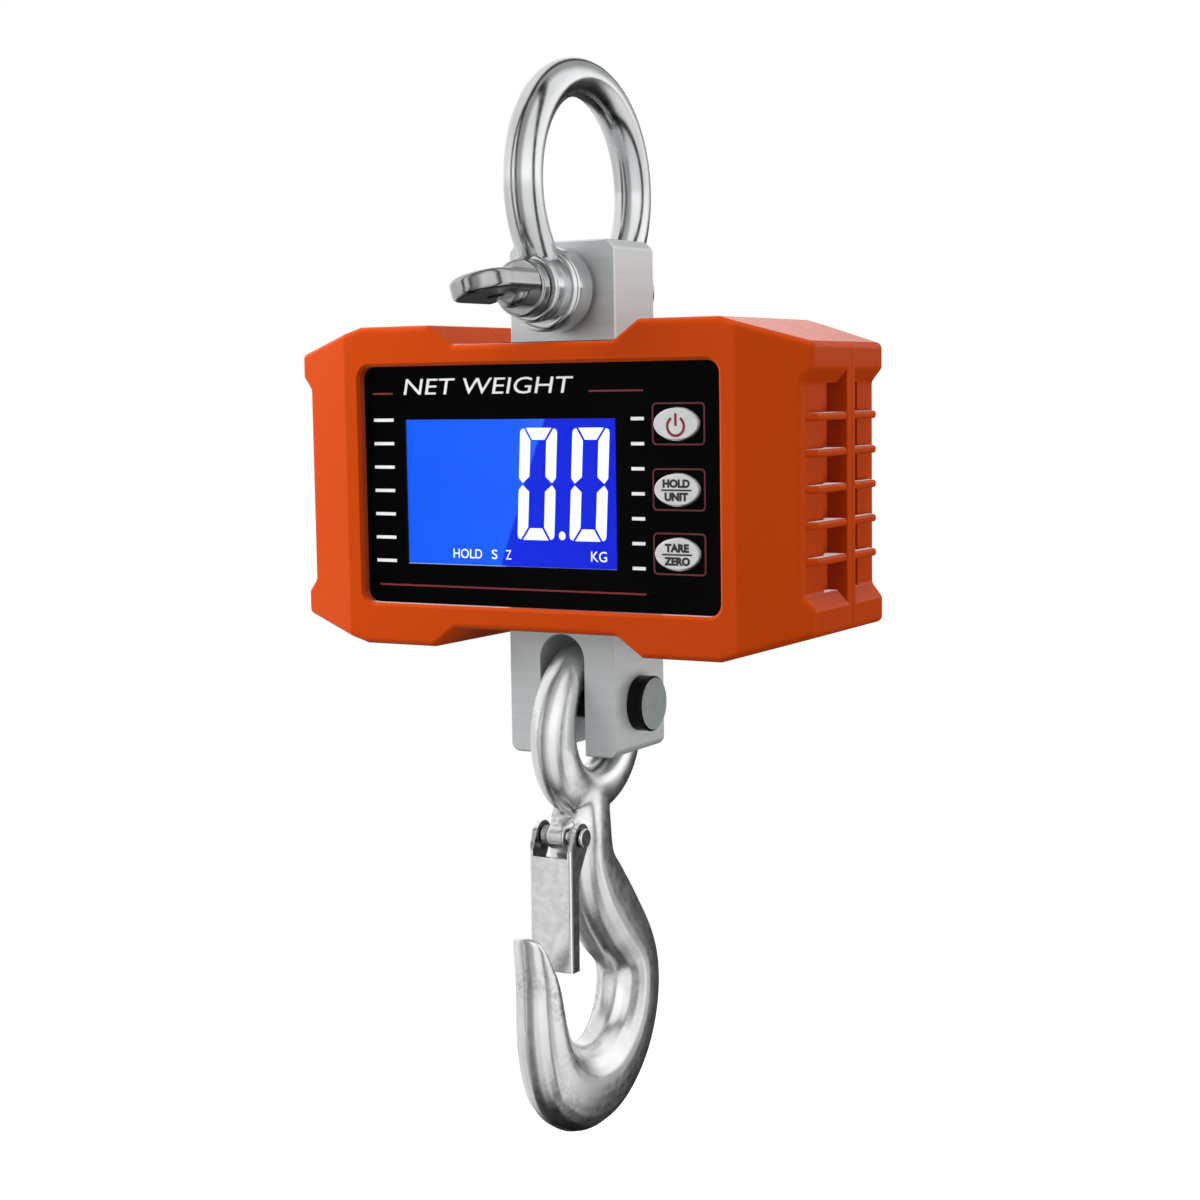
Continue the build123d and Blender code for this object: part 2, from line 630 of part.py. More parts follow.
def shackle_pin():
    neck_y = -FRONT_BOSS_Y - COLLAR_GAP
    pin = rod_y(0, PIN_Z, PIN_R, neck_y, EAR_IN - 0.4)
    pin += rod_y(0, PIN_Z, THREAD_R, EAR_IN - 1, REAR_BOSS_Y + 1.8)
    for i in range(2):
        groove_y = REAR_BOSS_Y + 0.3 + i * 0.75
        groove = rod_y(0, PIN_Z, THREAD_R + 1, groove_y, groove_y + 0.35)
        pin -= groove - rod_y(0, PIN_Z, THREAD_R - 0.4, 0, 40)
    collar = rod_y(0, PIN_Z, COLLAR_R, neck_y - COLLAR_T, neck_y)
    collar = fillet(collar.edges().filter_by(GeomType.CIRCLE), 1.0)
    return pin + collar + shackle_tab(neck_y - COLLAR_T)


def shackle_tab(root_y):
    """The flat that is gripped to turn the pin, with its wire hole."""
    end_mid = TAB_END + TAB_HALF
    tab = box(-TAB_HALF, TAB_HALF, end_mid, root_y - 3.0, -TAB_T / 2, TAB_T / 2)
    tab += Pos(0, end_mid, 0) * Cylinder(TAB_HALF, TAB_T)
    tab = fillet([e for e in tab.edges() if abs(e.center().Z) > 1.0], 1.6)
    neck = Pos(0, root_y - 3.0, 0) * Rot(90, 0, 0) * Cylinder(6.2, 8.0)
    neck = fillet(neck.edges().filter_by(GeomType.CIRCLE).sort_by(Axis.Y)[0], 2.5)
    tab = tab + neck - Pos(0, TAB_HOLE_Y, 0) * Cylinder(2.7, 20)
    return Pos(0, 0, PIN_Z) * Rot(0, TAB_TILT, 0) * tab


# ---------------------------------------------------------------- hook and latch

def hung(shape):
    """Turn a piece of the hook about the hook pin, to the way that the empty hook hangs."""
    return shape.rotate(Axis((0, 0, HOOK_PIN_Z), (1, 0, 0)), HOOK_LEAN)


def hook_station(y, z, out_deg, half_in_plane, half_thick):
    """One oval section; out_deg points from the bowl outwards, as an angle from +Y towards +Z."""
    out_y, out_z = cos(radians(out_deg)), sin(radians(out_deg))
    here = Plane(origin=(0, y, z), x_dir=(0, out_y, out_z), z_dir=(0, out_z, -out_y))
    return here * Ellipse(half_in_plane, half_thick)


def bowl_station(out_deg):
    """A section on a ray from the bowl's centre, between the inner circle and the larger outer one."""
    out_y, out_z = cos(radians(out_deg)), sin(radians(out_deg))
    off_y, off_z = BACK_Y - BOWL_Y, BACK_Z - BOWL_Z
    along = out_y * off_y + out_z * off_z
    reach = along + (BACK_R ** 2 - hypot(off_y, off_z) ** 2 + along ** 2) ** 0.5
    reach -= max(0.0, -out_deg - 120.0) * FRONT_TAPER
    middle, half = (reach + BOWL_R) / 2, (reach - BOWL_R) / 2
    thick = 8.6 - max(0.0, -out_deg - 90.0) * 0.022
    return hook_station(BOWL_Y + middle * out_y, BOWL_Z + middle * out_z, out_deg, half, thick)


def hook_body():
    neck = [hook_station(*s) for s in HOOK_NECK]
    bowl = [bowl_station(angle) for angle in range(15, -181, -28)]
    tip = [hook_station(*s) for s in HOOK_TIP]
    return loft(neck + bowl + tip)


def hook():
    eye = Pos(0, 0, EYE_Z) * Rot(0, 90, 0) * Torus(EYE_R, EYE_ROD)
    body = eye + hook_body()
    body += rod_x(LATCH_Y, LATCH_Z, LUG_R, -LUG_HALF, LUG_HALF)
    body += box(-LUG_HALF, LUG_HALF, LATCH_Y, LATCH_Y + 8, LATCH_Z - LUG_R, LATCH_Z + LUG_R)
    return hung(body - rod_x(LATCH_Y, LATCH_Z, LATCH_PIN_R, -20, 20))


def latch_pin():
    end = LATCH_HALF + 0.3
    pin = rod_x(LATCH_Y, LATCH_Z, LATCH_PIN_R, -end - 0.5, end + 0.5)
    for x0, x1 in ((end, end + 1.3), (-end - 1.3, -end)):
        head = rod_x(LATCH_Y, LATCH_Z, 3.1, x0, x1)
        pin += fillet(head.edges().filter_by(GeomType.CIRCLE), 0.5)
    return hung(pin)


def latch_side(x0):
    """A side of the channel: a narrow flange that widens to a round ear at the pivot."""
    low, front, rear = LATCH_LOW, LATCH_PLATE_Y, LATCH_PLATE_Y + 4.6
    points = [(front, low), (rear, low), (rear, -123.0), (LATCH_Y + 4.3, LATCH_Z - 2.0),
              (LATCH_Y + 4.3, LATCH_Z), (LATCH_Y - 4.3, LATCH_Z + 1.5), (front, -114.0)]
    side = extrude(Plane.YZ.offset(x0) * outline(points), LATCH_T)
    return side + rod_x(LATCH_Y, LATCH_Z, 4.5, x0, x0 + LATCH_T)


def latch():
    front_plate = box(-LATCH_HALF, LATCH_HALF, LATCH_PLATE_Y, LATCH_PLATE_Y + LATCH_T, LATCH_LOW, -116.0)
    body = front_plate + latch_side(-LATCH_HALF) + latch_side(LATCH_HALF - LATCH_T)
    bends = [e for e in body.edges().filter_by(Axis.Z) if abs(abs(e.center().X) - LATCH_HALF) < 0.01
             and abs(e.center().Y - LATCH_PLATE_Y) < 0.01]
    body = fillet(bends, 1.0) - rod_x(LATCH_Y, LATCH_Z, LATCH_PIN_R + RUNNING, -20, 20)
    return hung(body.rotate(Axis((0, LATCH_Y, LATCH_Z), (1, 0, 0)), LATCH_REST))


def latch_spring():
    """The turns of the spring on the rivet, either side of the hook's lug."""
    parts = []
    for side in (-1, 1):
        for i in range(3):
            x = side * (LUG_HALF + 0.7 + i * 0.8)
            coil = Pos(x, LATCH_Y, LATCH_Z) * Rot(0, 90, 0) * Torus(2.6, 0.38)
            parts.append(hung(coil))
    return parts


PARTS = {
    "shell_gasket": shell_gasket, "shell_screws": shell_screws, "load_cell": load_cell,
    "load_cell_screws": load_cell_screws, "strain_gauges": strain_gauges,
    "upper_seal": lambda: block_seal(LUG_HALF_Y, NOTCH_Z - WALL, NOTCH_Z + 0.6),
    "lower_seal": lambda: block_seal(CLEVIS_HALF_Y, -NOTCH_Z - 0.6, -NOTCH_Z + WALL),
    "hook_pin": hook_pin, "hook_pin_clip": hook_pin_clip,
    "face_panel": face_panel, "display_window": display_window, "lcd_glass": lcd_glass,
    "lcd_backlight": lcd_backlight, "lcd_carrier": lcd_carrier,
    "key_switches": key_switches, "circuit_board": circuit_board, "board_screws": board_screws,
    "board_components": board_components, "load_cell_cable": load_cell_cable, "battery_leads": battery_leads,
    "battery_tray": battery_tray, "cell_contacts": cell_contacts,
    "battery_cover": battery_cover, "cover_gasket": cover_gasket, "cover_screws": cover_screws,
    "shackle_bow": shackle_bow, "shackle_pin": shackle_pin,
    "hook": hook, "latch_pin": latch_pin, "latch": latch, "latch_spring": latch_spring,
}


def save(name, shape):
    """Write one part with the shackle's inner crown at the origin."""
    solids = shape if isinstance(shape, list) else [shape]
    solids = [s for piece in solids for s in piece.solids()]
    whole = solids[0] if len(solids) == 1 else Compound(children=solids)
    export_step(Pos(0, 0, -HANG_Z) * whole, f"parts/{name}.step")


def main():
    os.makedirs("parts", exist_ok=True)
    outside = housing_outside()
    save("front_shell", front_shell(outside))
    save("rear_shell", rear_shell(outside))
    for name, z in KEY_Z.items():
        save(f"key_{name}", key(z))
    for i in range(3):
        save(f"cell_{i + 1}", cell(i))
    for name, make in PARTS.items():
        save(name, make())


main()
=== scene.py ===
"""Looks for the crane scale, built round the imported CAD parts. Metres, in the CAD frame."""
import bpy
import json
import math
import numpy as np
from math import cos, pi, radians, sin
from mathutils import Matrix, Vector

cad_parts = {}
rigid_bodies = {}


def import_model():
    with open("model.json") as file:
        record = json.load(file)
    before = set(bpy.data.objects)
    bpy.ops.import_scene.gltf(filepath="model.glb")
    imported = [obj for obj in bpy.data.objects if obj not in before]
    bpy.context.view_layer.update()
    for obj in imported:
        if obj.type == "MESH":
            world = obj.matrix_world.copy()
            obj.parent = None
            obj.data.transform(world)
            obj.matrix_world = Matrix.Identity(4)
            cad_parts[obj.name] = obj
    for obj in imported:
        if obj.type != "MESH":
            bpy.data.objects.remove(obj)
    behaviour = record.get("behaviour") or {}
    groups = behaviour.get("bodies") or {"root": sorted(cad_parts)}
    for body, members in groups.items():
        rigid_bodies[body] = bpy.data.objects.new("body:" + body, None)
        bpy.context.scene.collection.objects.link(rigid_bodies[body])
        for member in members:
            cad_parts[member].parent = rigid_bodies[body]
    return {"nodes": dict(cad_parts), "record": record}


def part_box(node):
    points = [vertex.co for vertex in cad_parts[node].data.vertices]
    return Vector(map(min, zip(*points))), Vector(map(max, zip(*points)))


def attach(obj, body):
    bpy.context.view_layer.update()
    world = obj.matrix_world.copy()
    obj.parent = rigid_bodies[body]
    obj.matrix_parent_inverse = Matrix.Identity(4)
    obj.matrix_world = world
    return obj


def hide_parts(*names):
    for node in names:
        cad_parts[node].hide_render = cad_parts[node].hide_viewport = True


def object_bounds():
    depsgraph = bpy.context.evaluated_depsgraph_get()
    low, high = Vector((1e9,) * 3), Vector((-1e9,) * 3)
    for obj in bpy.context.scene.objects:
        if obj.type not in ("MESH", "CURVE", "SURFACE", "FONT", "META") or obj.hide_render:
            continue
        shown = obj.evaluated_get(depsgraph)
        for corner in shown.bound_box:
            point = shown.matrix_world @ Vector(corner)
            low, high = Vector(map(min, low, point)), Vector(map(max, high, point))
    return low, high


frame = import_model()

cad_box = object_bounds()
nodes = frame["nodes"]
MM = 0.001
PANEL_LOW, PANEL_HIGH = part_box("face_panel")
PANEL_RISE = 0.4 * MM                                    # the panel's middle above the housing's
MID_Z = (PANEL_LOW.z + PANEL_HIGH.z) / 2 - PANEL_RISE
PANEL_FRONT = PANEL_LOW.y
KEY_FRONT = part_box("key_hold")[0].y
GLASS_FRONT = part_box("lcd_glass")[0].y
PRINT = 0.05 * MM                                        # thickness of the printed marks


# ---------------------------------------------------------------- shader helpers

class Look:
    """A node material on the Principled shader."""

    def __init__(self, name, rough=0.5, metal=0.0, **sockets):
        self.mat = bpy.data.materials.new(name)
        self.mat.use_nodes = True
        self.tree = self.mat.node_tree
        self.bsdf = self.tree.nodes["Principled BSDF"]
        self.bsdf.inputs["Roughness"].default_value = rough
        self.bsdf.inputs["Metallic"].default_value = metal
        for key, value in sockets.items():
            self.bsdf.inputs[key.replace("_", " ")].default_value = value
        self.place = self.tree.nodes.new("ShaderNodeTexCoord").outputs["Object"]
        self.last_normal = None

    def node(self, kind, **settings):
        n = self.tree.nodes.new(kind)
        for key, value in settings.items():
            setattr(n, key, value)
        return n

    def link(self, a, b):
        self.tree.links.new(a, b)

    def noise(self, scale, detail=3.0, stretch=(1, 1, 1)):
        mapping = self.node("ShaderNodeMapping")
        mapping.inputs["Scale"].default_value = stretch
        texture = self.node("ShaderNodeTexNoise")
        texture.inputs["Scale"].default_value = scale
        texture.inputs["Detail"].default_value = detail
        self.link(self.place, mapping.inputs["Vector"])
        self.link(mapping.outputs["Vector"], texture.inputs["Vector"])
        return texture.outputs["Fac"]

    def along(self, axis):
        split = self.node("ShaderNodeSeparateXYZ")
        self.link(self.place, split.inputs["Vector"])
        return split.outputs[axis]

    def sideways(self, low, high):
        """1 where the surface faces left or right, 0 where it doesn't."""
        split = self.node("ShaderNodeSeparateXYZ")
        self.link(self.node("ShaderNodeTexCoord").outputs["Normal"], split.inputs["Vector"])
        size = self.node("ShaderNodeMath", operation="ABSOLUTE")
        self.link(split.outputs["X"], size.inputs[0])
        return self.spread(size.outputs[0], low, high, 0.0, 1.0)

    def ramp(self, fac, stops):
        r = self.node("ShaderNodeValToRGB")
        elements = r.color_ramp.elements
        while len(elements) < len(stops):
            elements.new(0.5)
        for element, (at, colour) in zip(elements, stops):
            element.position = at
            element.color = (*colour, 1.0)
        self.link(fac, r.inputs["Fac"])
        return r.outputs["Color"]

    def spread(self, fac, low, high, out_low, out_high):
        m = self.node("ShaderNodeMapRange")
        for key, value in zip(("From Min", "From Max", "To Min", "To Max"), (low, high, out_low, out_high)):
            m.inputs[key].default_value = value
        self.link(fac, m.inputs["Value"])
        return m.outputs["Result"]

    def mix(self, fac, a, b, mode="MIX"):
        m = self.node("ShaderNodeMix", data_type="RGBA", blend_type=mode)
        for socket, value in ((m.inputs["Factor"], fac), (m.inputs["A"], a), (m.inputs["B"], b)):
            if isinstance(value, bpy.types.NodeSocket):
                self.link(value, socket)
            elif isinstance(value, tuple):
                socket.default_value = (*value, 1.0)
            else:
                socket.default_value = value
        # the colour sockets of a Mix node share their names with its float ones
        return m.outputs[2]

    def colour(self, value):
        self.link(value, self.bsdf.inputs["Base Color"])
        return self

    def rough(self, value):
        self.link(value, self.bsdf.inputs["Roughness"])
        return self

    def bump(self, height, strength, distance_mm):
        b = self.node("ShaderNodeBump")
        b.inputs["Strength"].default_value = strength
        b.inputs["Distance"].default_value = distance_mm * MM
        self.link(height, b.inputs["Height"])
        if self.last_normal:
            self.link(self.last_normal, b.inputs["Normal"])
        self.last_normal = b.outputs["Normal"]
        self.link(self.last_normal, self.bsdf.inputs["Normal"])
        return self

    def glow(self, value, strength):
        self.link(value, self.bsdf.inputs["Emission Color"])
        self.bsdf.inputs["Emission Strength"].default_value = strength
        return self


def tinted(name, dark, light, rough, metal=0.0, scale=120.0, grain=(900.0, 0.1, 0.05), rough_swing=0.08):
    """The common look: two close tones in a soft noise, uneven roughness and a fine grain.

    The grain is the scale of its noise, the strength of the bump and its height in millimetres.
    """
    look = Look(name, metal=metal)
    patches = look.noise(scale, 5.0)
    look.colour(look.ramp(patches, [(0.3, dark), (0.7, light)]))
    look.rough(look.spread(look.noise(scale * 2.3, 4.0), 0.3, 0.7, rough - rough_swing, rough + rough_swing))
    grain_scale, strength, distance = grain
    look.bump(look.noise(grain_scale, 3.0), strength, distance)
    return look


# ---------------------------------------------------------------- materials

def orange_paint():
    look = Look("housing_paint", Specular_IOR_Level=0.03, Coat_Weight=1.0, Coat_IOR=1.15,
                Coat_Roughness=0.25)
    base = look.ramp(look.noise(9.0, 3.0), [(0.3, (0.50, 0.050, 0.0003)), (0.7, (0.54, 0.056, 0.0004))])
    fine = look.ramp(look.noise(2600.0, 2.0), [(0.35, (0.93, 0.90, 0.86)), (0.65, (1.0, 1.0, 1.0))])
    look.colour(look.mix(1.0, base, fine, "MULTIPLY"))
    look.rough(look.spread(look.noise(500.0, 3.0), 0.3, 0.7, 0.36, 0.50))
    look.bump(look.noise(1500.0, 2.0), 0.35, 0.06)
    return look.bump(look.noise(90.0, 2.0), 0.15, 0.12).mat


def chrome():
    look = Look("shackle_chrome", metal=1.0)
    look.colour(look.ramp(look.noise(60.0, 4.0), [(0.3, (0.58, 0.59, 0.60)), (0.7, (0.68, 0.69, 0.70))]))
    look.rough(look.spread(look.noise(240.0, 6.0), 0.35, 0.75, 0.15, 0.23))
    look.bump(look.noise(70.0, 2.0), 0.10, 0.25)
    return look.bump(look.noise(1200.0, 2.0, (1, 1, 0.15)), 0.05, 0.02).mat


def brushed_block():
    """Brushed alloy, with painted light: its left and right faces are painted paler than the front, standing
    in for more light on them.
    """
    look = Look("block_alloy", metal=0.5)
    lines = look.noise(420.0, 4.0, (0.06, 0.06, 1.6))
    front = look.ramp(lines, [(0.3, (0.55, 0.585, 0.59)), (0.7, (0.61, 0.645, 0.65))])
    # painted light: faces that look left or right take this paler copy of the alloy instead of the front's
    # tones
    sides = look.ramp(lines, [(0.3, (0.67, 0.70, 0.705)), (0.7, (0.73, 0.76, 0.765))])
    look.colour(look.mix(look.sideways(0.3, 0.9), front, sides))
    look.rough(look.spread(lines, 0.3, 0.7, 0.34, 0.44))
    return look.bump(look.noise(900.0, 3.0, (0.05, 0.05, 2.0)), 0.06, 0.02).mat


def satin_pin():
    look = Look("shackle_pin_satin", metal=1.0)
    look.colour(look.ramp(look.noise(70.0, 4.0), [(0.3, (0.36, 0.365, 0.37)), (0.7, (0.46, 0.465, 0.47))]))
    look.rough(look.spread(look.noise(260.0, 5.0), 0.35, 0.75, 0.14, 0.26))
    return look.bump(look.noise(500.0, 3.0), 0.06, 0.04).mat


def oxide_pin():
    """Black oxide, grey on the end faces."""
    look = Look("pin_steel", Specular_IOR_Level=0.04)
    black = look.ramp(look.noise(260.0, 5.0), [(0.3, (0.006, 0.006, 0.007)), (0.7, (0.012, 0.012, 0.013))])
    grey = look.ramp(look.noise(300.0, 5.0), [(0.3, (0.32, 0.375, 0.38)), (0.7, (0.37, 0.425, 0.43))])
    look.colour(look.mix(look.sideways(0.75, 0.95), black, grey))
    look.rough(look.spread(look.noise(500.0, 4.0), 0.3, 0.7, 0.18, 0.30))
    return look.bump(look.noise(700.0, 3.0), 0.08, 0.03).mat


def zinc_forging():
    look = Look("hook_zinc", metal=1.0)
    clouds = look.ramp(look.noise(55.0, 6.0), [(0.30, (0.74, 0.745, 0.75)), (0.68, (0.88, 0.885, 0.89))])
    where = look.ramp(look.noise(38.0, 2.0), [(0.52, (0.0, 0.0, 0.0)), (0.68, (1.0, 1.0, 1.0))])
    specks = look.ramp(look.noise(650.0, 4.0), [(0.42, (0.42, 0.42, 0.43)), (0.56, (1.0, 1.0, 1.0))])
    look.colour(look.mix(where, clouds, look.mix(0.7, clouds, specks, "MULTIPLY")))
    look.rough(look.spread(look.noise(300.0, 6.0), 0.32, 0.68, 0.26, 0.34))
    look.bump(look.noise(120.0, 4.0), 0.08, 0.12)
    return look.bump(look.noise(800.0, 3.0), 0.10, 0.05).mat


def zinc_sheet():
    """Bright plated sheet, with painted shade: the folded sides are painted dark grey."""
    look = Look("latch_zinc", metal=1.0)
    bright = look.ramp(look.noise(80.0, 5.0), [(0.3, (0.86, 0.865, 0.87)), (0.7, (0.95, 0.955, 0.96))])
    # painted shade: faces that look sideways get a dark grey in place of the bright plating
    look.colour(look.mix(look.sideways(0.85, 0.97), bright, (0.22, 0.22, 0.225)))
    look.rough(look.spread(look.noise(350.0, 5.0), 0.3, 0.7, 0.16, 0.30))
    look.bump(look.noise(1100.0, 3.0, (1, 1, 0.2)), 0.08, 0.03)
    return look.bump(look.noise(60.0, 2.0), 0.06, 0.12).mat


def panel_gloss():
    look = Look("panel_print", Specular_IOR_Level=0.02)
    black = [(0.3, (0.0008, 0.0008, 0.0010)), (0.7, (0.0014, 0.0014, 0.0017))]
    look.colour(look.ramp(look.noise(30.0, 3.0), black))
    look.rough(look.spread(look.noise(180.0, 4.0), 0.3, 0.7, 0.10, 0.18))
    return look.bump(look.noise(700.0, 2.0), 0.03, 0.03).mat


def lcd_blue():
    """Lit blue glass, with a painted reflection: a pale glare at the left up to a slanting line, a deeper
    blue beyond it. The glow carries the painted glare too.
    """
    look = Look("display_blue", 0.25, Specular_IOR_Level=0.08)
    across = look.along("X")
    # painted reflection: the paler blue of the left part is glare painted into the colour, cut off by a
    # slanting line
    left = look.ramp(look.spread(across, -0.048, 0.004, 0.0, 1.0),
                     [(0.0, (0.002, 0.105, 0.93)), (0.7, (0.004, 0.110, 0.93)), (1.0, (0.022, 0.130, 0.92))])
    right = look.ramp(look.spread(across, -0.014, 0.028, 0.0, 1.0),
                      [(0.0, (0.0005, 0.020, 0.74)), (1.0, (0.0003, 0.012, 0.66))])
    glare_run_per_rise, glare_start, glare_end = 0.371, 0.0391, 0.0397
    slant = look.node("ShaderNodeMath", operation="MULTIPLY_ADD")
    slant.inputs[1].default_value = -glare_run_per_rise
    look.link(look.along("Z"), slant.inputs[0])
    look.link(across, slant.inputs[2])
    glare_mask = look.spread(slant.outputs[0], glare_start, glare_end, 0.0, 1.0)
    base = look.mix(glare_mask, left, right)
    patches = look.ramp(look.noise(60.0, 3.0), [(0.3, (0.94, 0.94, 0.94)), (0.7, (1.0, 1.0, 1.0))])
    lit = look.mix(1.0, base, patches, "MULTIPLY")
    look.colour(look.mix(0.9, lit, (0.0, 0.0, 0.03)))
    return look.glow(lit, 0.95).bump(look.noise(900.0, 2.0), 0.02, 0.02).mat


def clear_window():
    look = Look("window_clear", IOR=1.12, Transmission_Weight=1.0)
    look.colour(look.ramp(look.noise(20.0), [(0.3, (0.97, 0.98, 1.0)), (0.7, (1.0, 1.0, 1.0))]))
    look.rough(look.spread(look.noise(150.0, 4.0), 0.3, 0.7, 0.02, 0.06))
    return look.mat


def ink(name, dark, light, glow=0.0):
    look = tinted(name, dark, light, 0.35, scale=200.0, grain=(1500.0, 0.05, 0.02), rough_swing=0.04)
    if glow:
        look.glow(look.ramp(look.noise(150.0), [(0.3, dark), (0.7, light)]), glow)
    return look.mat


MATERIALS = {
    "housing_paint": orange_paint(),
    "seal_rubber": tinted("seal_rubber", (0.012, 0.012, 0.013), (0.022, 0.022, 0.023), 0.7).mat,
    "screw_steel": tinted("screw_steel", (0.42, 0.42, 0.43), (0.58, 0.58, 0.59), 0.3, 1.0, 400.0).mat,
    "block_alloy": brushed_block(),
    "gauge_film": tinted("gauge_film", (0.55, 0.33, 0.07), (0.65, 0.42, 0.10), 0.4).mat,
    "pin_steel": oxide_pin(),
    "spring_steel": tinted("spring_steel", (0.45, 0.45, 0.46), (0.65, 0.65, 0.66), 0.25, 1.0, 300.0).mat,
    "panel_print": panel_gloss(),
    "window_clear": clear_window(),
    "display_blue": lcd_blue(),
    "backlight_white": tinted("backlight_white", (0.75, 0.76, 0.78), (0.85, 0.86, 0.88), 0.5).mat,
    "inner_plastic": tinted("inner_plastic", (0.010, 0.010, 0.011), (0.018, 0.018, 0.019), 0.5).mat,
    "key_grey": tinted("key_grey", (0.56, 0.57, 0.58), (0.66, 0.67, 0.68), 0.42, 0.15, 300.0,
                       (1600.0, 0.12, 0.03)).mat,
    "switch_black": tinted("switch_black", (0.010, 0.010, 0.010), (0.018, 0.018, 0.018), 0.45).mat,
    "board_green": tinted("board_green", (0.008, 0.085, 0.030), (0.014, 0.12, 0.045), 0.35, scale=300.0).mat,
    "component_black": tinted("component_black", (0.012, 0.012, 0.013), (0.022, 0.022, 0.024), 0.5).mat,
    "cable_black": tinted("cable_black", (0.010, 0.010, 0.010), (0.020, 0.020, 0.020), 0.55).mat,
    "cell_wrap": tinted("cell_wrap", (0.020, 0.022, 0.026), (0.034, 0.036, 0.042), 0.3).mat,
    "contact_metal": tinted("contact_metal", (0.60, 0.58, 0.54), (0.72, 0.70, 0.66), 0.3, 1.0).mat,
    "shackle_steel": chrome(),
    "hook_zinc": zinc_forging(),
    "latch_zinc": zinc_sheet(),
}
SATIN_PIN = satin_pin()
WHITE_INK = ink("ink_white", (0.70, 0.71, 0.72), (0.82, 0.83, 0.84))
RED_INK = ink("ink_red", (0.14, 0.006, 0.012), (0.19, 0.009, 0.016))
DARK_RED_INK = ink("ink_dark_red", (0.085, 0.005, 0.010), (0.115, 0.007, 0.013))
KEY_RED_INK = ink("ink_key_red", (0.17, 0.006, 0.014), (0.23, 0.009, 0.018))
BLACK_INK = ink("ink_black", (0.012, 0.012, 0.013), (0.020, 0.020, 0.022))
SEGMENT_INK = ink("segment_white", (0.60, 0.64, 0.72), (0.72, 0.76, 0.84), glow=0.62)


# ---------------------------------------------------------------- mesh helpers

def ridden(name, mesh, material, body):
    """An object round a finished mesh, which rides a body."""
    mesh.materials.clear()
    mesh.materials.append(material)
    obj = bpy.data.objects.new(name, mesh)
    bpy.context.scene.collection.objects.link(obj)
    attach(obj, body)
    return obj


def piece(name, verts, faces, material, body):
    """A mesh piece from points in metres in the row frame."""
    mesh = bpy.data.meshes.new(name)
    mesh.from_pydata([tuple(v) for v in verts], [], faces)
    mesh.validate()
    return ridden(name, mesh, material, body)


def curve_mesh(name, curve):
    """The mesh that a curve or text draws."""
    source = bpy.data.objects.new(name + "_source", curve)
    bpy.context.scene.collection.objects.link(source)
    bpy.context.view_layer.update()
    mesh = bpy.data.meshes.new_from_object(source.evaluated_get(bpy.context.evaluated_depsgraph_get()))
    bpy.data.objects.remove(source)
    mesh.name = name
    return mesh


def flat_point(x, z, y):
    """A point of the front, given in millimetres from the middle of the housing."""
    return (x * MM, y, MID_Z + z * MM)


def printed(name, outlines, y, body, material, thickness=PRINT):
    """Flat marks a hair thick. Each outline is a list of x, z in millimetres, anticlockwise."""
    verts, faces = [], []
    for outline in outlines:
        n, start = len(outline), len(verts)
        verts += [flat_point(x, z, y - thickness) for x, z in outline]
        verts += [flat_point(x, z, y) for x, z in outline]
        faces.append(tuple(range(start, start + n)))
        faces.append(tuple(reversed(range(start + n, start + 2 * n))))
        for i in range(n):
            j = (i + 1) % n
            faces.append((start + j, start + i, start + n + i, start + n + j))
    return piece(name, verts, faces, material, body)


def bar(x0, x1, z0, z1):
    return [(x0, z0), (x1, z0), (x1, z1), (x0, z1)]


def banded(name, outer, inner, y, body, material, slot, closed=True):
    """A flat band between two outlines with the same number of points."""
    n = len(outer)
    verts = [flat_point(x, z, y - PRINT) for x, z in outer + inner]
    verts += [flat_point(x, z, y) for x, z in outer + inner]
    faces = []
    for i in range(n if closed else n - 1):
        j = (i + 1) % n
        faces += [(i, j, n + j, n + i), (2 * n + j, 2 * n + i, 3 * n + i, 3 * n + j),
                  (j, i, 2 * n + i, 2 * n + j), (n + i, n + j, 3 * n + j, 3 * n + i)]
    if not closed:
        faces += [(0, n, 3 * n, 2 * n), (n + n - 1, n - 1, 3 * n - 1, 4 * n - 1)]
    return piece(name, verts, faces, material, body)


def lettering(name, text, x_span, z_span, y, body, material, weight=0.0, slant=0.0):
    """Plain raised lettering fitted to a rectangle of the front."""
    curve = bpy.data.curves.new(name + "_curve", "FONT")
    curve.body = text
    curve.offset = weight
    curve.extrude = 0.02
    curve.resolution_u = 4
    mesh = curve_mesh(name, curve)
    xs, zs = [v.co.x for v in mesh.vertices], [v.co.y for v in mesh.vertices]
    low_x, low_z = min(xs), min(zs)
    wide, tall = max(xs) - low_x, max(zs) - low_z
    for v in mesh.vertices:
        x = x_span[0] + (v.co.x - low_x) / wide * (x_span[1] - x_span[0])
        z = z_span[0] + (v.co.y - low_z) / tall * (z_span[1] - z_span[0])
        v.co = flat_point(x + slant * (z - z_span[0]), z, y - (PRINT if v.co.z > 0 else 0.0))
    return ridden(name, mesh, material, body)


# ---------------------------------------------------------------- printed marks and digits

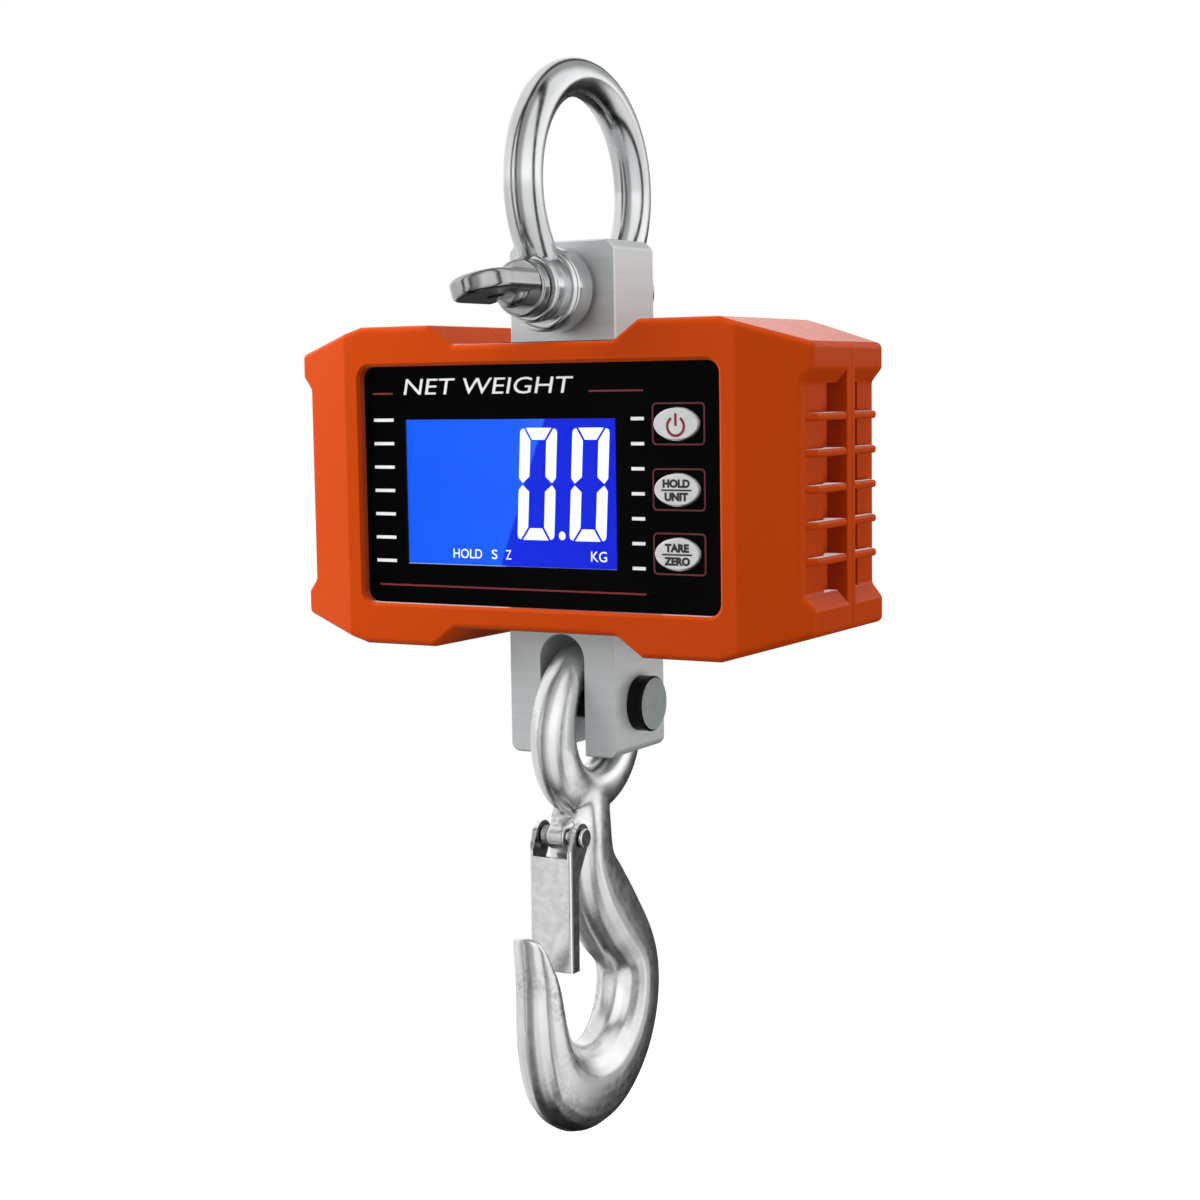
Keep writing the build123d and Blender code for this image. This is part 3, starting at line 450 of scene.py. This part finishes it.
# Places on the front, in millimetres from the middle of the housing: x to the right and z up
DIGIT_SPANS = {"digit_tens": (-6.7, 6.4), "digit_units": (11.8, 24.6)}
DIGIT_Z = (-15.9, 18.2)
DIGIT_STROKE = 3.7
DIGIT_LEAN = 0.05                       # sideways run for each millimetre up
POINT_AT, POINT_SIZE = (8.4, -14.4), (1.15, 1.3)
SMALL_MARKS = (("mark_hold", "HOLD", (-31.2, -20.6), (-22.1, -19.2)),
               ("mark_stable", "S", (-17.0, -15.0), (-22.1, -19.2)),
               ("mark_zero", "Z", (-11.9, -9.9), (-22.1, -19.2)),
               ("mark_unit", "KG", (18.4, 23.9), (-22.0, -18.9)))
LIT = 0.045 * MM                        # thickness of a lit mark
LIT_GAP = 0.02 * MM                     # its clearance in front of the glass
TITLE_X, TITLE_Z, TITLE_SLANT = (-48.2, 12.6), (28.6, 33.6), 0.2
RED_LINES = ((-60.0, -52.4, 28.8), (18.9, 37.3, 28.8), (-58.9, 37.6, -31.4))
RED_LINE_WIDTH = 0.55
DASH_SPANS = ((-59.9, -52.3), (33.1, 37.5))
DASH_COUNT, DASH_TOP, DASH_STEP, DASH_HALF = 7, 20.8, 7.38, 0.5
KEY_FRAME_X, KEY_FRAME_HALF, KEY_FRAME_CORNER, KEY_FRAME_WIDTH = 48.9, (8.75, 6.25), 1.4, 0.5
KEY_FRAME_POINTS = 144
KEY_FRAMES = {"power": 19.2, "hold": 0.0, "tare": -18.9}
POWER_AT, POWER_RADII = (48.4, 18.5), (3.15, 2.35)
POWER_BAR = (48.0, 48.8, 18.6, 22.3)
POWER_OPEN_FROM, POWER_TURN, POWER_STEPS = 122, 296, 28      # degrees, degrees, points
LEGENDS = (("key_hold", 0.0, "HOLD", (43.9, 52.9), "UNIT", (44.5, 52.3)),
           ("key_tare", -18.9, "TARE", (44.4, 52.4), "ZERO", (44.1, 52.7)))
LEGEND_UPPER, LEGEND_LOWER = (0.55, 3.1), (-3.35, -0.8)      # up and down from the key's middle
LEGEND_WEIGHT = 0.06
RULE = (43.4, 53.4, -0.38, 0.12)


def rounded_rectangle(cx, cz, half_x, half_z, radius, count):
    """Points round a rounded rectangle, one at each of count equal steps of angle."""
    points = []
    for i in range(count):
        a = 2 * pi * i / count
        c, s = cos(a), sin(a)
        scale = min(half_x / abs(c) if abs(c) > 1e-9 else 1e9, half_z / abs(s) if abs(s) > 1e-9 else 1e9)
        x, z = c * scale, s * scale
        over_x, over_z = abs(x) - (half_x - radius), abs(z) - (half_z - radius)
        if over_x > 0 and over_z > 0:
            # walk along the ray to the corner's arc
            bx, bz = math.copysign(half_x - radius, x), math.copysign(half_z - radius, z)
            along = c * bx + s * bz
            reach = along + math.sqrt(max(0.0, radius ** 2 - bx ** 2 - bz ** 2 + along ** 2))
            x, z = c * reach, s * reach
        points.append((cx + x, cz + z))
    return points


def ellipse(cx, cz, a, b, count):
    """Points on an ellipse, one at each of count equal steps of angle seen from its centre."""
    points = []
    for i in range(count):
        t = 2 * pi * i / count
        r = a * b / math.hypot(b * cos(t), a * sin(t))
        points.append((cx + r * cos(t), cz + r * sin(t)))
    return points


def segment_zero(x0, x1, z0, z1, t):
    """The six lit bars of a nought: mitred, with fine gaps, rounded outside and leaning a little."""
    gap = 0.3
    zm = (z0 + z1) / 2
    width = x1 - x0
    side = [(0.0, gap + 1.6), (1.3, gap), (t, gap + 2.0), (t, zm - z0 - t - 0.2), (1.25, zm - z0 - 0.15),
            (0.35, zm - z0 - 0.55), (0.0, zm - z0 - 1.4)]
    cap = [(2.0, 0.0), (width - 2.0, 0.0), (width - t - 0.7, -t + 0.1), (t + 0.7, -t + 0.1)]
    bars = []
    for across in (1, -1):
        for up in (1, -1):
            shape = [(x0 + u if across > 0 else x1 - u, zm + up * v) for u, v in side]
            bars.append(shape if across * up < 0 else shape[::-1])
    bars.append([(x0 + u, z1 + v) for u, v in cap][::-1])
    bars.append([(x0 + u, z0 - v) for u, v in cap])
    return [[(x + (z - zm) * DIGIT_LEAN, z) for x, z in shape] for shape in bars]


def display_marks():
    y = GLASS_FRONT - LIT_GAP
    for name, span in DIGIT_SPANS.items():
        bars = segment_zero(*span, *DIGIT_Z, DIGIT_STROKE)
        printed(name, bars, y, "scale", SEGMENT_INK, LIT)
    point = ellipse(*POINT_AT, *POINT_SIZE, 32)
    printed("digit_point", [point], y, "scale", SEGMENT_INK, LIT)
    for name, text, x_span, z_span in SMALL_MARKS:
        lettering(name, text, x_span, z_span, y, "scale", SEGMENT_INK)


def panel_marks():
    y = PANEL_FRONT
    lettering("panel_title", "NET WEIGHT", TITLE_X, TITLE_Z, y, "scale", WHITE_INK,
              slant=TITLE_SLANT)
    lines = [bar(x0, x1, z, z + RED_LINE_WIDTH) for x0, x1, z in RED_LINES]
    printed("panel_red_lines", lines, y, "scale", RED_INK)
    dashes = []
    for i in range(DASH_COUNT):
        z = DASH_TOP - DASH_STEP * i
        dashes += [bar(*span, z - DASH_HALF, z + DASH_HALF) for span in DASH_SPANS]
    printed("panel_dashes", dashes, y, "scale", WHITE_INK)
    for name, z in KEY_FRAMES.items():
        edges = []
        for inset, corner in ((0.0, KEY_FRAME_CORNER), (KEY_FRAME_WIDTH, KEY_FRAME_CORNER - 0.4)):
            half_x, half_z = (half - inset for half in KEY_FRAME_HALF)
            edges.append(rounded_rectangle(KEY_FRAME_X, z, half_x, half_z, corner, KEY_FRAME_POINTS))
        banded("panel_frame_" + name, *edges, y, "scale", DARK_RED_INK, "panel_print")


def key_marks():
    y = KEY_FRONT
    turns = [radians(POWER_OPEN_FROM + POWER_TURN * i / (POWER_STEPS - 1)) for i in range(POWER_STEPS)]
    ring = [[(POWER_AT[0] + r * cos(a), POWER_AT[1] + r * sin(a)) for a in turns] for r in POWER_RADII]
    banded("key_power_ring", *ring, y, "key_power", KEY_RED_INK, "key_grey", closed=False)
    printed("key_power_bar", [bar(*POWER_BAR)], y, "key_power", KEY_RED_INK)
    for body, z, upper, upper_x, lower, lower_x in LEGENDS:
        for part, text, x_span, (low, high) in (("_upper", upper, upper_x, LEGEND_UPPER),
                                                ("_lower", lower, lower_x, LEGEND_LOWER)):
            lettering(body + part, text, x_span, (z + low, z + high), y, body, BLACK_INK,
                      LEGEND_WEIGHT)
        x0, x1, low, high = RULE
        printed(body + "_rule", [bar(x0, x1, z + low, z + high)], y, body, BLACK_INK)


# ---------------------------------------------------------------- hook

# The hook in millimetres as it would stand upright: y to the rear, z from the middle of the housing
HOOK_PIN_Z = -68.5
LEAN = radians(-3.4)                    # how it hangs, turned about its pin
BOWL, BOWL_R = (-1.0, -162.3), 16.7     # circle of the inner face
BACK, BACK_R = (2.5, -167.0), 40.4      # circle of the back
BOWL_HALF_THICK = 9.3
# Past so many degrees round the bowl, so many millimetres a degree come off its back and its thickness
BACK_EASE_FROM, BACK_EASE = 120.0, 0.09
THIN_FROM, THIN_RATE = 90.0, 0.022
BOWL_ANGLES = range(15, -181, -28)
# A station is y, z, the outward angle in degrees, half the section along it, and half across it
NECK_STATIONS = [(-0.8, -95.0, 0, 9.0, 6.6), (-2.6, -107.0, 0, 10.2, 8.9), (-1.0, -119.0, 12, 11.4, 9.0),
                 (5.6, -129.8, 32, 13.2, 9.1), (15.4, -140.8, 38, 13.4, 9.2)]
TIP_STATIONS = [(-28.4, -155.5, -184, 7.2, 6.9), (-31.2, -148.0, -196, 5.9, 6.3),
                (-33.6, -143.0, -206, 4.6, 5.6), (-34.6, -141.2, -210, 3.9, 5.0)]
TIP_CAP = ((0.7, 0.86), (1.25, 0.6), (1.5, 0.2))             # how far past the tip, and what share of it
STATION_STEPS = 8                       # rings from one station to the next
BLEND_STATIONS = 5                      # stations over which the neck's section becomes the bowl's
# Half a section, from the middle of the inner face to the middle of the back, as shares outward and sideways
BOWL_SECTION = [(-1.0, 0.0), (-1.0, 0.16), (-0.99, 0.31), (-0.90, 0.50), (-0.74, 0.70), (-0.56, 0.85),
                (-0.34, 0.98), (-0.12, 1.0), (0.10, 0.97), (0.34, 0.90), (0.58, 0.79), (0.80, 0.59),
                (0.95, 0.31), (1.0, 0.0)]
NECK_SECTION = [(-1.0, 0.0), (-1.0, 0.20), (-0.98, 0.40), (-0.92, 0.59), (-0.80, 0.77), (-0.64, 0.91),
                (-0.46, 1.0), (-0.24, 1.0), (0.02, 0.98), (0.28, 0.94), (0.54, 0.85), (0.78, 0.65),
                (0.94, 0.34), (1.0, 0.0)]
ROUND_SECTION = [(-cos(pi * i / 13), sin(pi * i / 13)) for i in range(14)]
EYE_Z, EYE_R, EYE_ROD = -76.0, 20.6, 6.8
EYE_WIDTH = 0.985                       # the rod's width as a share of its depth
EYE_RINGS = 120
EYE_FULLER = ((3.6, 222), (2.6, 318))   # how much it swells outward, and about which angle
LATCH_AT = (-15.6, -110.3)              # the latch's rivet
LUG_HALF, LUG_R, LUG_CHAMFER = 3.2, 4.2, 0.3
LUG_POINTS = 48
WEB_OUTLINE = ((-15.6, -114.5), (-7.0, -118.0), (-7.0, -103.0), (-15.6, -106.1))
FUSE_VOXEL = 0.5 * MM
EVEN_ROUNDS, EVEN_PULL = 2, 0.35        # smoothing everywhere
CROTCH, CROTCH_REACH = (-0.5, -99.5), 17.0                   # where the eye meets the neck
CROTCH_ROUNDS, CROTCH_PULL = 60, 0.6    # smoothing there


def hung(x, y, z):
    """A point of the hook in millimetres, as it hangs, in metres in the row frame."""
    dz = z - HOOK_PIN_Z
    return (x * MM, (y * cos(LEAN) - dz * sin(LEAN)) * MM,
            MID_Z + (y * sin(LEAN) + dz * cos(LEAN) + HOOK_PIN_Z) * MM)


def bowl_station(out_deg):
    """The station between the bowl's circle and the back's, thinning towards the tip."""
    out_y, out_z = cos(radians(out_deg)), sin(radians(out_deg))
    off_y, off_z = BACK[0] - BOWL[0], BACK[1] - BOWL[1]
    along = out_y * off_y + out_z * off_z
    reach = along + math.sqrt(BACK_R ** 2 - off_y ** 2 - off_z ** 2 + along ** 2)
    reach -= max(0.0, -out_deg - BACK_EASE_FROM) * BACK_EASE
    middle, half = (reach + BOWL_R) / 2, (reach - BOWL_R) / 2
    return (BOWL[0] + middle * out_y, BOWL[1] + middle * out_z, out_deg, half,
            BOWL_HALF_THICK - max(0.0, -out_deg - THIN_FROM) * THIN_RATE)


def between(a, b, c, d, t):
    """Catmull-Rom interpolation of four stations."""
    return tuple(0.5 * (2 * q + (r - p) * t + (2 * p - 5 * q + 4 * r - s) * t * t
                        + (3 * q - p - 3 * r + s) * t ** 3) for p, q, r, s in zip(a, b, c, d))


def stations_between(stations):
    """The stations with STATION_STEPS steps from each to the next."""
    padded = [stations[0]] + stations + [stations[-1]]
    steps = []
    for i in range(1, len(padded) - 2):
        for k in range(STATION_STEPS):
            steps.append(between(*padded[i - 1:i + 3], k / STATION_STEPS))
    return steps + [stations[-1]]


def whole_section(half):
    """A closed section out of half of it."""
    return half + [(u, -v) for u, v in reversed(half[1:-1])]


def flat_section(share):
    """The closed section from the neck's at 0 to the bowl's at 1."""
    share = min(share, 1.0)
    return whole_section([(a + (c - a) * share, b + (d - b) * share)
                          for (a, b), (c, d) in zip(NECK_SECTION, BOWL_SECTION)])


def tube(rings, closed=False):
    """Vertices and faces of a run of rings of points, capped at both ends unless it closes on itself."""
    n = len(rings[0])
    verts = [p for ring in rings for p in ring]
    faces = []
    count = len(rings)
    for i in range(count if closed else count - 1):
        a, b = i * n, ((i + 1) % count) * n
        faces += [(a + k, a + (k + 1) % n, b + (k + 1) % n, b + k) for k in range(n)]
    if not closed:
        faces += [tuple(reversed(range(n))), tuple(range((count - 1) * n, count * n))]
    return verts, faces


def bent_body():
    stations = NECK_STATIONS + [bowl_station(a) for a in BOWL_ANGLES] + TIP_STATIONS
    rings = []
    for i, (y, z, out_deg, half_in, half_thick) in enumerate(stations_between(stations)):
        oy, oz = cos(radians(out_deg)), sin(radians(out_deg))
        rings.append([hung(v * half_thick, y + u * half_in * oy, z + u * half_in * oz)
                      for u, v in flat_section(i / STATION_STEPS / BLEND_STATIONS)])
    y, z, out_deg, half_in, half_thick = TIP_STATIONS[-1]
    oy, oz = cos(radians(out_deg)), sin(radians(out_deg))
    for forward, share in TIP_CAP:
        cy, cz = y + forward * oz, z - forward * oy
        out, across = half_in * share, half_thick * share
        rings.append([hung(v * across, cy + u * out * oy, cz + u * out * oz) for u, v in flat_section(1.0)])
    return tube(rings)


def eye():
    """The ring, swollen outward on both sides of where the neck meets it."""
    rings = []
    for i in range(EYE_RINGS):
        a = 2 * pi * i / EYE_RINGS
        fuller = sum(swell * max(0.0, cos(a - radians(about))) ** 2 for swell, about in EYE_FULLER)
        ring = []
        for u, v in whole_section(ROUND_SECTION):
            r = EYE_R + EYE_ROD * u + fuller * max(u, 0.0)
            ring.append(hung(EYE_ROD * v * EYE_WIDTH, r * cos(a), EYE_Z + r * sin(a)))
        rings.append(ring)
    return tube(rings, closed=True)


def latch_lug():
    rings = []
    for x, r in ((-LUG_HALF, LUG_R - LUG_CHAMFER), (-LUG_HALF + LUG_CHAMFER, LUG_R),
                 (LUG_HALF - LUG_CHAMFER, LUG_R), (LUG_HALF, LUG_R - LUG_CHAMFER)):
        turns = [2 * pi * k / LUG_POINTS for k in range(LUG_POINTS)]
        rings.append([hung(x, LATCH_AT[0] + r * cos(a), LATCH_AT[1] + r * sin(a)) for a in turns])
    return tube(rings)


def lug_web():
    return tube([[hung(x, y, z) for y, z in WEB_OUTLINE] for x in (-LUG_HALF, LUG_HALF)])


def smoothed(mesh, rounds, weight_of):
    """Pull each vertex towards its neighbours, by the weight that its place asks for."""
    count = len(mesh.vertices)
    co = np.zeros(count * 3)
    mesh.vertices.foreach_get("co", co)
    co = co.reshape(-1, 3)
    ends = np.zeros(len(mesh.edges) * 2, dtype=np.int64)
    mesh.edges.foreach_get("vertices", ends)
    a, b = ends.reshape(-1, 2).T
    valence = np.bincount(np.concatenate([a, b]), minlength=count)[:, None]
    weight = weight_of(co)[:, None]
    for _ in range(rounds):
        total = np.zeros_like(co)
        for axis in range(3):
            total[:, axis] = (np.bincount(a, co[b, axis], count) + np.bincount(b, co[a, axis], count))
        co += weight * (total / valence - co)
    mesh.vertices.foreach_set("co", co.ravel())
    mesh.update()


def evenly(co):
    return np.full(len(co), EVEN_PULL)


def near_crotch(co):
    away = np.linalg.norm((co - np.array(hung(0, *CROTCH))) * np.array([0.7, 1.0, 1.0]), axis=1)
    return CROTCH_PULL * np.clip(1.25 - away / (CROTCH_REACH * MM), 0.0, 1.0)


def make_hook():
    """The bent body, the eye and the latch's lug, fused into one forging and blended where they meet."""
    verts, faces = [], []
    for shell_verts, shell_faces in (bent_body(), eye(), latch_lug(), lug_web()):
        start = len(verts)
        verts += shell_verts
        faces += [tuple(start + i for i in f) for f in shell_faces]
    obj = piece("hook_forging", verts, faces, MATERIALS["hook_zinc"], "hook")
    remesh = obj.modifiers.new("fuse", "REMESH")
    remesh.mode = "VOXEL"
    remesh.voxel_size = FUSE_VOXEL
    fused = bpy.data.meshes.new_from_object(obj.evaluated_get(bpy.context.evaluated_depsgraph_get()))
    obj.modifiers.clear()
    obj.data = fused
    fused.name = "hook_forging"
    smoothed(fused, EVEN_ROUNDS, evenly)
    smoothed(fused, CROTCH_ROUNDS, near_crotch)
    fused.materials.clear()
    fused.materials.append(MATERIALS["hook_zinc"])
    fused.shade_smooth()
    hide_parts("hook")


# ---------------------------------------------------------------- latch spring

COIL_R, COIL_WIRE, COIL_TURNS, COIL_STEPS = 2.6, 0.38, 3.4, 120
COIL_INNER_X, COIL_WIDTH = 3.75, 2.2
COIL_START = 100                        # degrees
SPRING_LEG = ((-12.4, -106.6), (-13.6, -107.8))              # y, z up the hook's neck


def wire(name, points, radius, material, body):
    """A round wire through points in metres."""
    curve = bpy.data.curves.new(name + "_curve", "CURVE")
    curve.dimensions = "3D"
    curve.bevel_depth = radius
    curve.bevel_resolution = 3
    curve.use_fill_caps = True
    spline = curve.splines.new("POLY")
    spline.points.add(len(points) - 1)
    for p, at in zip(spline.points, points):
        p.co = (*at, 1.0)
    mesh = curve_mesh(name, curve)
    mesh.shade_smooth()
    return ridden(name, mesh, material, body)


def make_latch_spring():
    """A coil round the rivet on each side of the lug, with a leg up the hook's neck."""
    for side, name in ((-1, "left"), (1, "right")):
        points = [hung(side * COIL_INNER_X, y, z) for y, z in SPRING_LEG]
        for i in range(COIL_STEPS + 1):
            a = radians(COIL_START) - 2 * pi * COIL_TURNS * i / COIL_STEPS
            x = side * (COIL_INNER_X + COIL_WIDTH * i / COIL_STEPS)
            points.append(hung(x, LATCH_AT[0] + COIL_R * cos(a), LATCH_AT[1] + COIL_R * sin(a)))
        wire("latch_spring_" + name, points, COIL_WIRE * MM, MATERIALS["spring_steel"], "hook")
    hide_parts("latch_spring")


# ---------------------------------------------------------------- camera, floor and lights

CAMERA_AT = (0.34133, -0.58172, -0.08956)
CAMERA_AZIMUTH, CAMERA_PITCH, CAMERA_ROLL = radians(30.04), radians(5.66), radians(-0.85)
FLOOR_HALF, FLOOR_DROP = 1.3, 0.35
MIDDLE = (0, 0, -0.12)


def make_camera():
    forward = Vector((-sin(CAMERA_AZIMUTH) * cos(CAMERA_PITCH), cos(CAMERA_AZIMUTH) * cos(CAMERA_PITCH),
                      -sin(CAMERA_PITCH)))
    level = Vector((cos(CAMERA_AZIMUTH), sin(CAMERA_AZIMUTH), 0.0))
    upward = level.cross(forward)
    right = level * cos(CAMERA_ROLL) + upward * sin(CAMERA_ROLL)
    up = upward * cos(CAMERA_ROLL) - level * sin(CAMERA_ROLL)
    data = bpy.data.cameras.new("camera")
    data.lens = 64.2
    data.sensor_width = 36.0
    data.clip_start, data.clip_end = 0.02, 50.0
    camera = bpy.data.objects.new("camera", data)
    bpy.context.scene.collection.objects.link(camera)
    turn = Matrix((right, up, -forward)).transposed().to_4x4()
    camera.matrix_world = Matrix.Translation(CAMERA_AT) @ turn
    bpy.context.scene.camera = camera


def make_floor():
    """A white floor well below the object. It neither shows in the metal nor lights the underside."""
    half, z = FLOOR_HALF, cad_box[0].z - FLOOR_DROP
    mesh = bpy.data.meshes.new("floor")
    mesh.from_pydata([(-half, -half, z), (half, -half, z), (half, half, z), (-half, half, z)], [],
                     [(0, 1, 2, 3)])
    look = Look("floor_pale", 0.8)
    look.colour(look.ramp(look.noise(2.0), [(0.3, (0.60, 0.60, 0.60)), (0.7, (0.64, 0.64, 0.64))]))
    look.bsdf.inputs["Emission Color"].default_value = (1.0, 1.0, 1.0, 1.0)
    look.bsdf.inputs["Emission Strength"].default_value = 0.80
    mesh.materials.append(look.mat)
    floor = bpy.data.objects.new("floor", mesh)
    bpy.context.scene.collection.objects.link(floor)
    floor.visible_glossy = False
    floor.visible_diffuse = False


def area_light(name, place, aim, size, power):
    """A soft light that neither the camera nor the metal sees."""
    data = bpy.data.lights.new(name, "AREA")
    data.shape = "RECTANGLE"
    data.size, data.size_y = size
    data.energy = power
    light = bpy.data.objects.new(name, data)
    bpy.context.scene.collection.objects.link(light)
    light.location = place
    light.rotation_mode = "QUATERNION"
    light.rotation_quaternion = (Vector(aim) - Vector(place)).to_track_quat("-Z", "Y")
    light.visible_camera = False
    light.visible_glossy = False


def make_lights():
    area_light("top_softbox", (0.10, -0.10, 0.95), MIDDLE, (1.1, 1.1), 11.0)
    area_light("left_softbox", (-0.52, -0.38, 0.10), MIDDLE, (0.35, 0.35), 4.4)
    area_light("right_softbox", (1.10, 0.0, -0.35), (0, 0, -0.15), (0.35, 0.7), 6.5)


# ---------------------------------------------------------------- room

# Brightness by the X of a direction, from the left to the right
ROOM_STRIPS = [(-1.0, 0.80), (-0.88, 0.95), (-0.56, 1.0), (-0.34, 0.95), (-0.27, 0.05), (-0.12, 0.04),
               (-0.06, 0.45), (0.08, 0.42), (0.20, 0.38), (0.34, 0.60), (0.48, 1.1), (0.90, 1.1), (1.0, 1.0)]
# and by its Z, from straight down to straight up
ROOM_HEIGHT = [(-1.0, 0.10), (-0.86, 0.12), (-0.74, 0.70), (-0.30, 0.95), (0.04, 0.95), (0.10, 1.30),
               (0.25, 1.20), (0.60, 1.0), (1.0, 1.10)]
# Upright dark bands: the azimuth in degrees, where the dark ends, and where full brightness starts
DARK_BANDS = ((-130, 0.06, 0.125), (5, 0.10, 0.19))
BAND_SHADE, REAR_SHADE = 0.04, 0.06
SOFT_SIDE = (-0.92, -0.30, 0.24)        # the side from which the softest light is brightest


class Room:
    """The world's node tree, in which every direction has a brightness."""

    def __init__(self):
        world = bpy.data.worlds.new("room")
        world.use_nodes = True
        bpy.context.scene.world = world
        self.tree = world.node_tree
        self.tree.nodes.clear()
        self.direction = self.node("ShaderNodeTexCoord").outputs["Generated"]

    def node(self, kind, **settings):
        n = self.tree.nodes.new(kind)
        for key, value in settings.items():
            setattr(n, key, value)
        return n

    def link(self, a, b):
        self.tree.links.new(a, b)

    def remap(self, source, low, high, out_low=0.0, out_high=1.0, kind="SMOOTHSTEP"):
        n = self.node("ShaderNodeMapRange", interpolation_type=kind)
        for key, value in zip(("From Min", "From Max", "To Min", "To Max"), (low, high, out_low, out_high)):
            n.inputs[key].default_value = value
        self.link(source, n.inputs["Value"])
        return n.outputs["Result"]

    def greys(self, source, stops):
        n = self.node("ShaderNodeValToRGB")
        elements = n.color_ramp.elements
        while len(elements) < len(stops):
            elements.new(0.5)
        for element, (at, v) in zip(elements, stops):
            element.position = (at + 1) / 2
            element.color = (v, v, v, 1.0)
        self.link(self.remap(source, -1.0, 1.0, kind="LINEAR"), n.inputs["Fac"])
        return n.outputs["Color"]

    def times(self, a, b):
        n = self.node("ShaderNodeMath", operation="MULTIPLY")
        self.link(a, n.inputs[0])
        self.link(b, n.inputs[1])
        return n.outputs[0]

    def towards(self, direction):
        """How far a direction points along another."""
        n = self.node("ShaderNodeVectorMath", operation="DOT_PRODUCT")
        n.inputs[1].default_value = direction
        self.link(self.direction, n.inputs[0])
        return n.outputs["Value"]

    def great_circle(self, azimuth, near, far):
        """1 close to the upright plane through an azimuth, on its own side of the room, falling to 0."""
        turn = radians(azimuth)
        off = self.node("ShaderNodeMath", operation="ABSOLUTE")
        self.link(self.towards((-sin(turn), cos(turn), 0.0)), off.inputs[0])
        return self.times(self.remap(off.outputs[0], near, far, 1.0, 0.0),
                          self.remap(self.towards((cos(turn), sin(turn), 0.0)), 0.0, 0.2))

    def in_metal(self):
        """Strips that run front to back, two dark bands, and a dark rear below the horizon."""
        split = self.node("ShaderNodeSeparateXYZ")
        self.link(self.direction, split.inputs["Vector"])
        x, y, z = (split.outputs[axis] for axis in "XYZ")
        strips = self.greys(x, ROOM_STRIPS)
        for azimuth, near, far in DARK_BANDS:
            band = self.great_circle(azimuth, near, far)
            strips = self.times(strips, self.remap(band, 0.0, 1.0, 1.0, BAND_SHADE, kind="LINEAR"))
        rear = self.times(self.times(self.remap(y, 0.10, 0.45), self.remap(x, 0.48, 0.68, 1.0, 0.0)),
                          self.times(self.remap(x, -0.75, -0.55), self.remap(z, 0.0, 0.08, 1.0, 0.0)))
        return self.times(self.times(strips, self.greys(z, ROOM_HEIGHT)),
                          self.remap(rear, 0.0, 1.0, 1.0, REAR_SHADE, kind="LINEAR"))

def make_world():
    """White to the camera, a soft gradient to diffuse rays, and the room of strips to the rest."""
    room = Room()
    paths = room.node("ShaderNodeLightPath")
    value = room.node("ShaderNodeMix")
    room.link(paths.outputs["Is Diffuse Ray"], value.inputs["Factor"])
    room.link(room.in_metal(), value.inputs["A"])
    room.link(room.remap(room.towards(SOFT_SIDE), -0.7, 1.0, 0.04, 0.85, kind="LINEAR"), value.inputs["B"])
    lit = room.node("ShaderNodeBackground")
    room.link(value.outputs["Result"], lit.inputs["Color"])
    seen = room.node("ShaderNodeBackground")
    seen.inputs["Color"].default_value = (1.0, 1.0, 1.0, 1.0)
    choose = room.node("ShaderNodeMixShader")
    room.link(paths.outputs["Is Camera Ray"], choose.inputs["Fac"])
    room.link(lit.outputs["Background"], choose.inputs[1])
    room.link(seen.outputs["Background"], choose.inputs[2])
    room.link(choose.outputs["Shader"], room.node("ShaderNodeOutputWorld").inputs["Surface"])


# ---------------------------------------------------------------- assembly

def dress_cad_nodes():
    slot_of = {s["node"]: s["material_slot"] for s in frame["record"]["subparts"]}
    for name, obj in nodes.items():
        obj.data.materials.clear()
        obj.data.materials.append(SATIN_PIN if name == "shackle_pin" else MATERIALS[slot_of[name]])


def hide_from_metal():
    """The photograph's metal shows nothing of the coloured parts, so only metal is mirrored in it."""
    mirrored = [SATIN_PIN] + [MATERIALS[slot] for slot in (
        "block_alloy", "pin_steel", "spring_steel", "shackle_steel", "hook_zinc", "latch_zinc")]
    for thing in bpy.context.scene.objects:
        if thing.type == "MESH" and thing.data.materials and thing.data.materials[0] not in mirrored:
            thing.visible_glossy = False


dress_cad_nodes()
display_marks()
panel_marks()
key_marks()
make_hook()
make_latch_spring()
make_floor()
make_camera()
make_world()
make_lights()
bpy.context.scene.view_settings.view_transform = "Standard"

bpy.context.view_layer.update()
hide_from_metal()
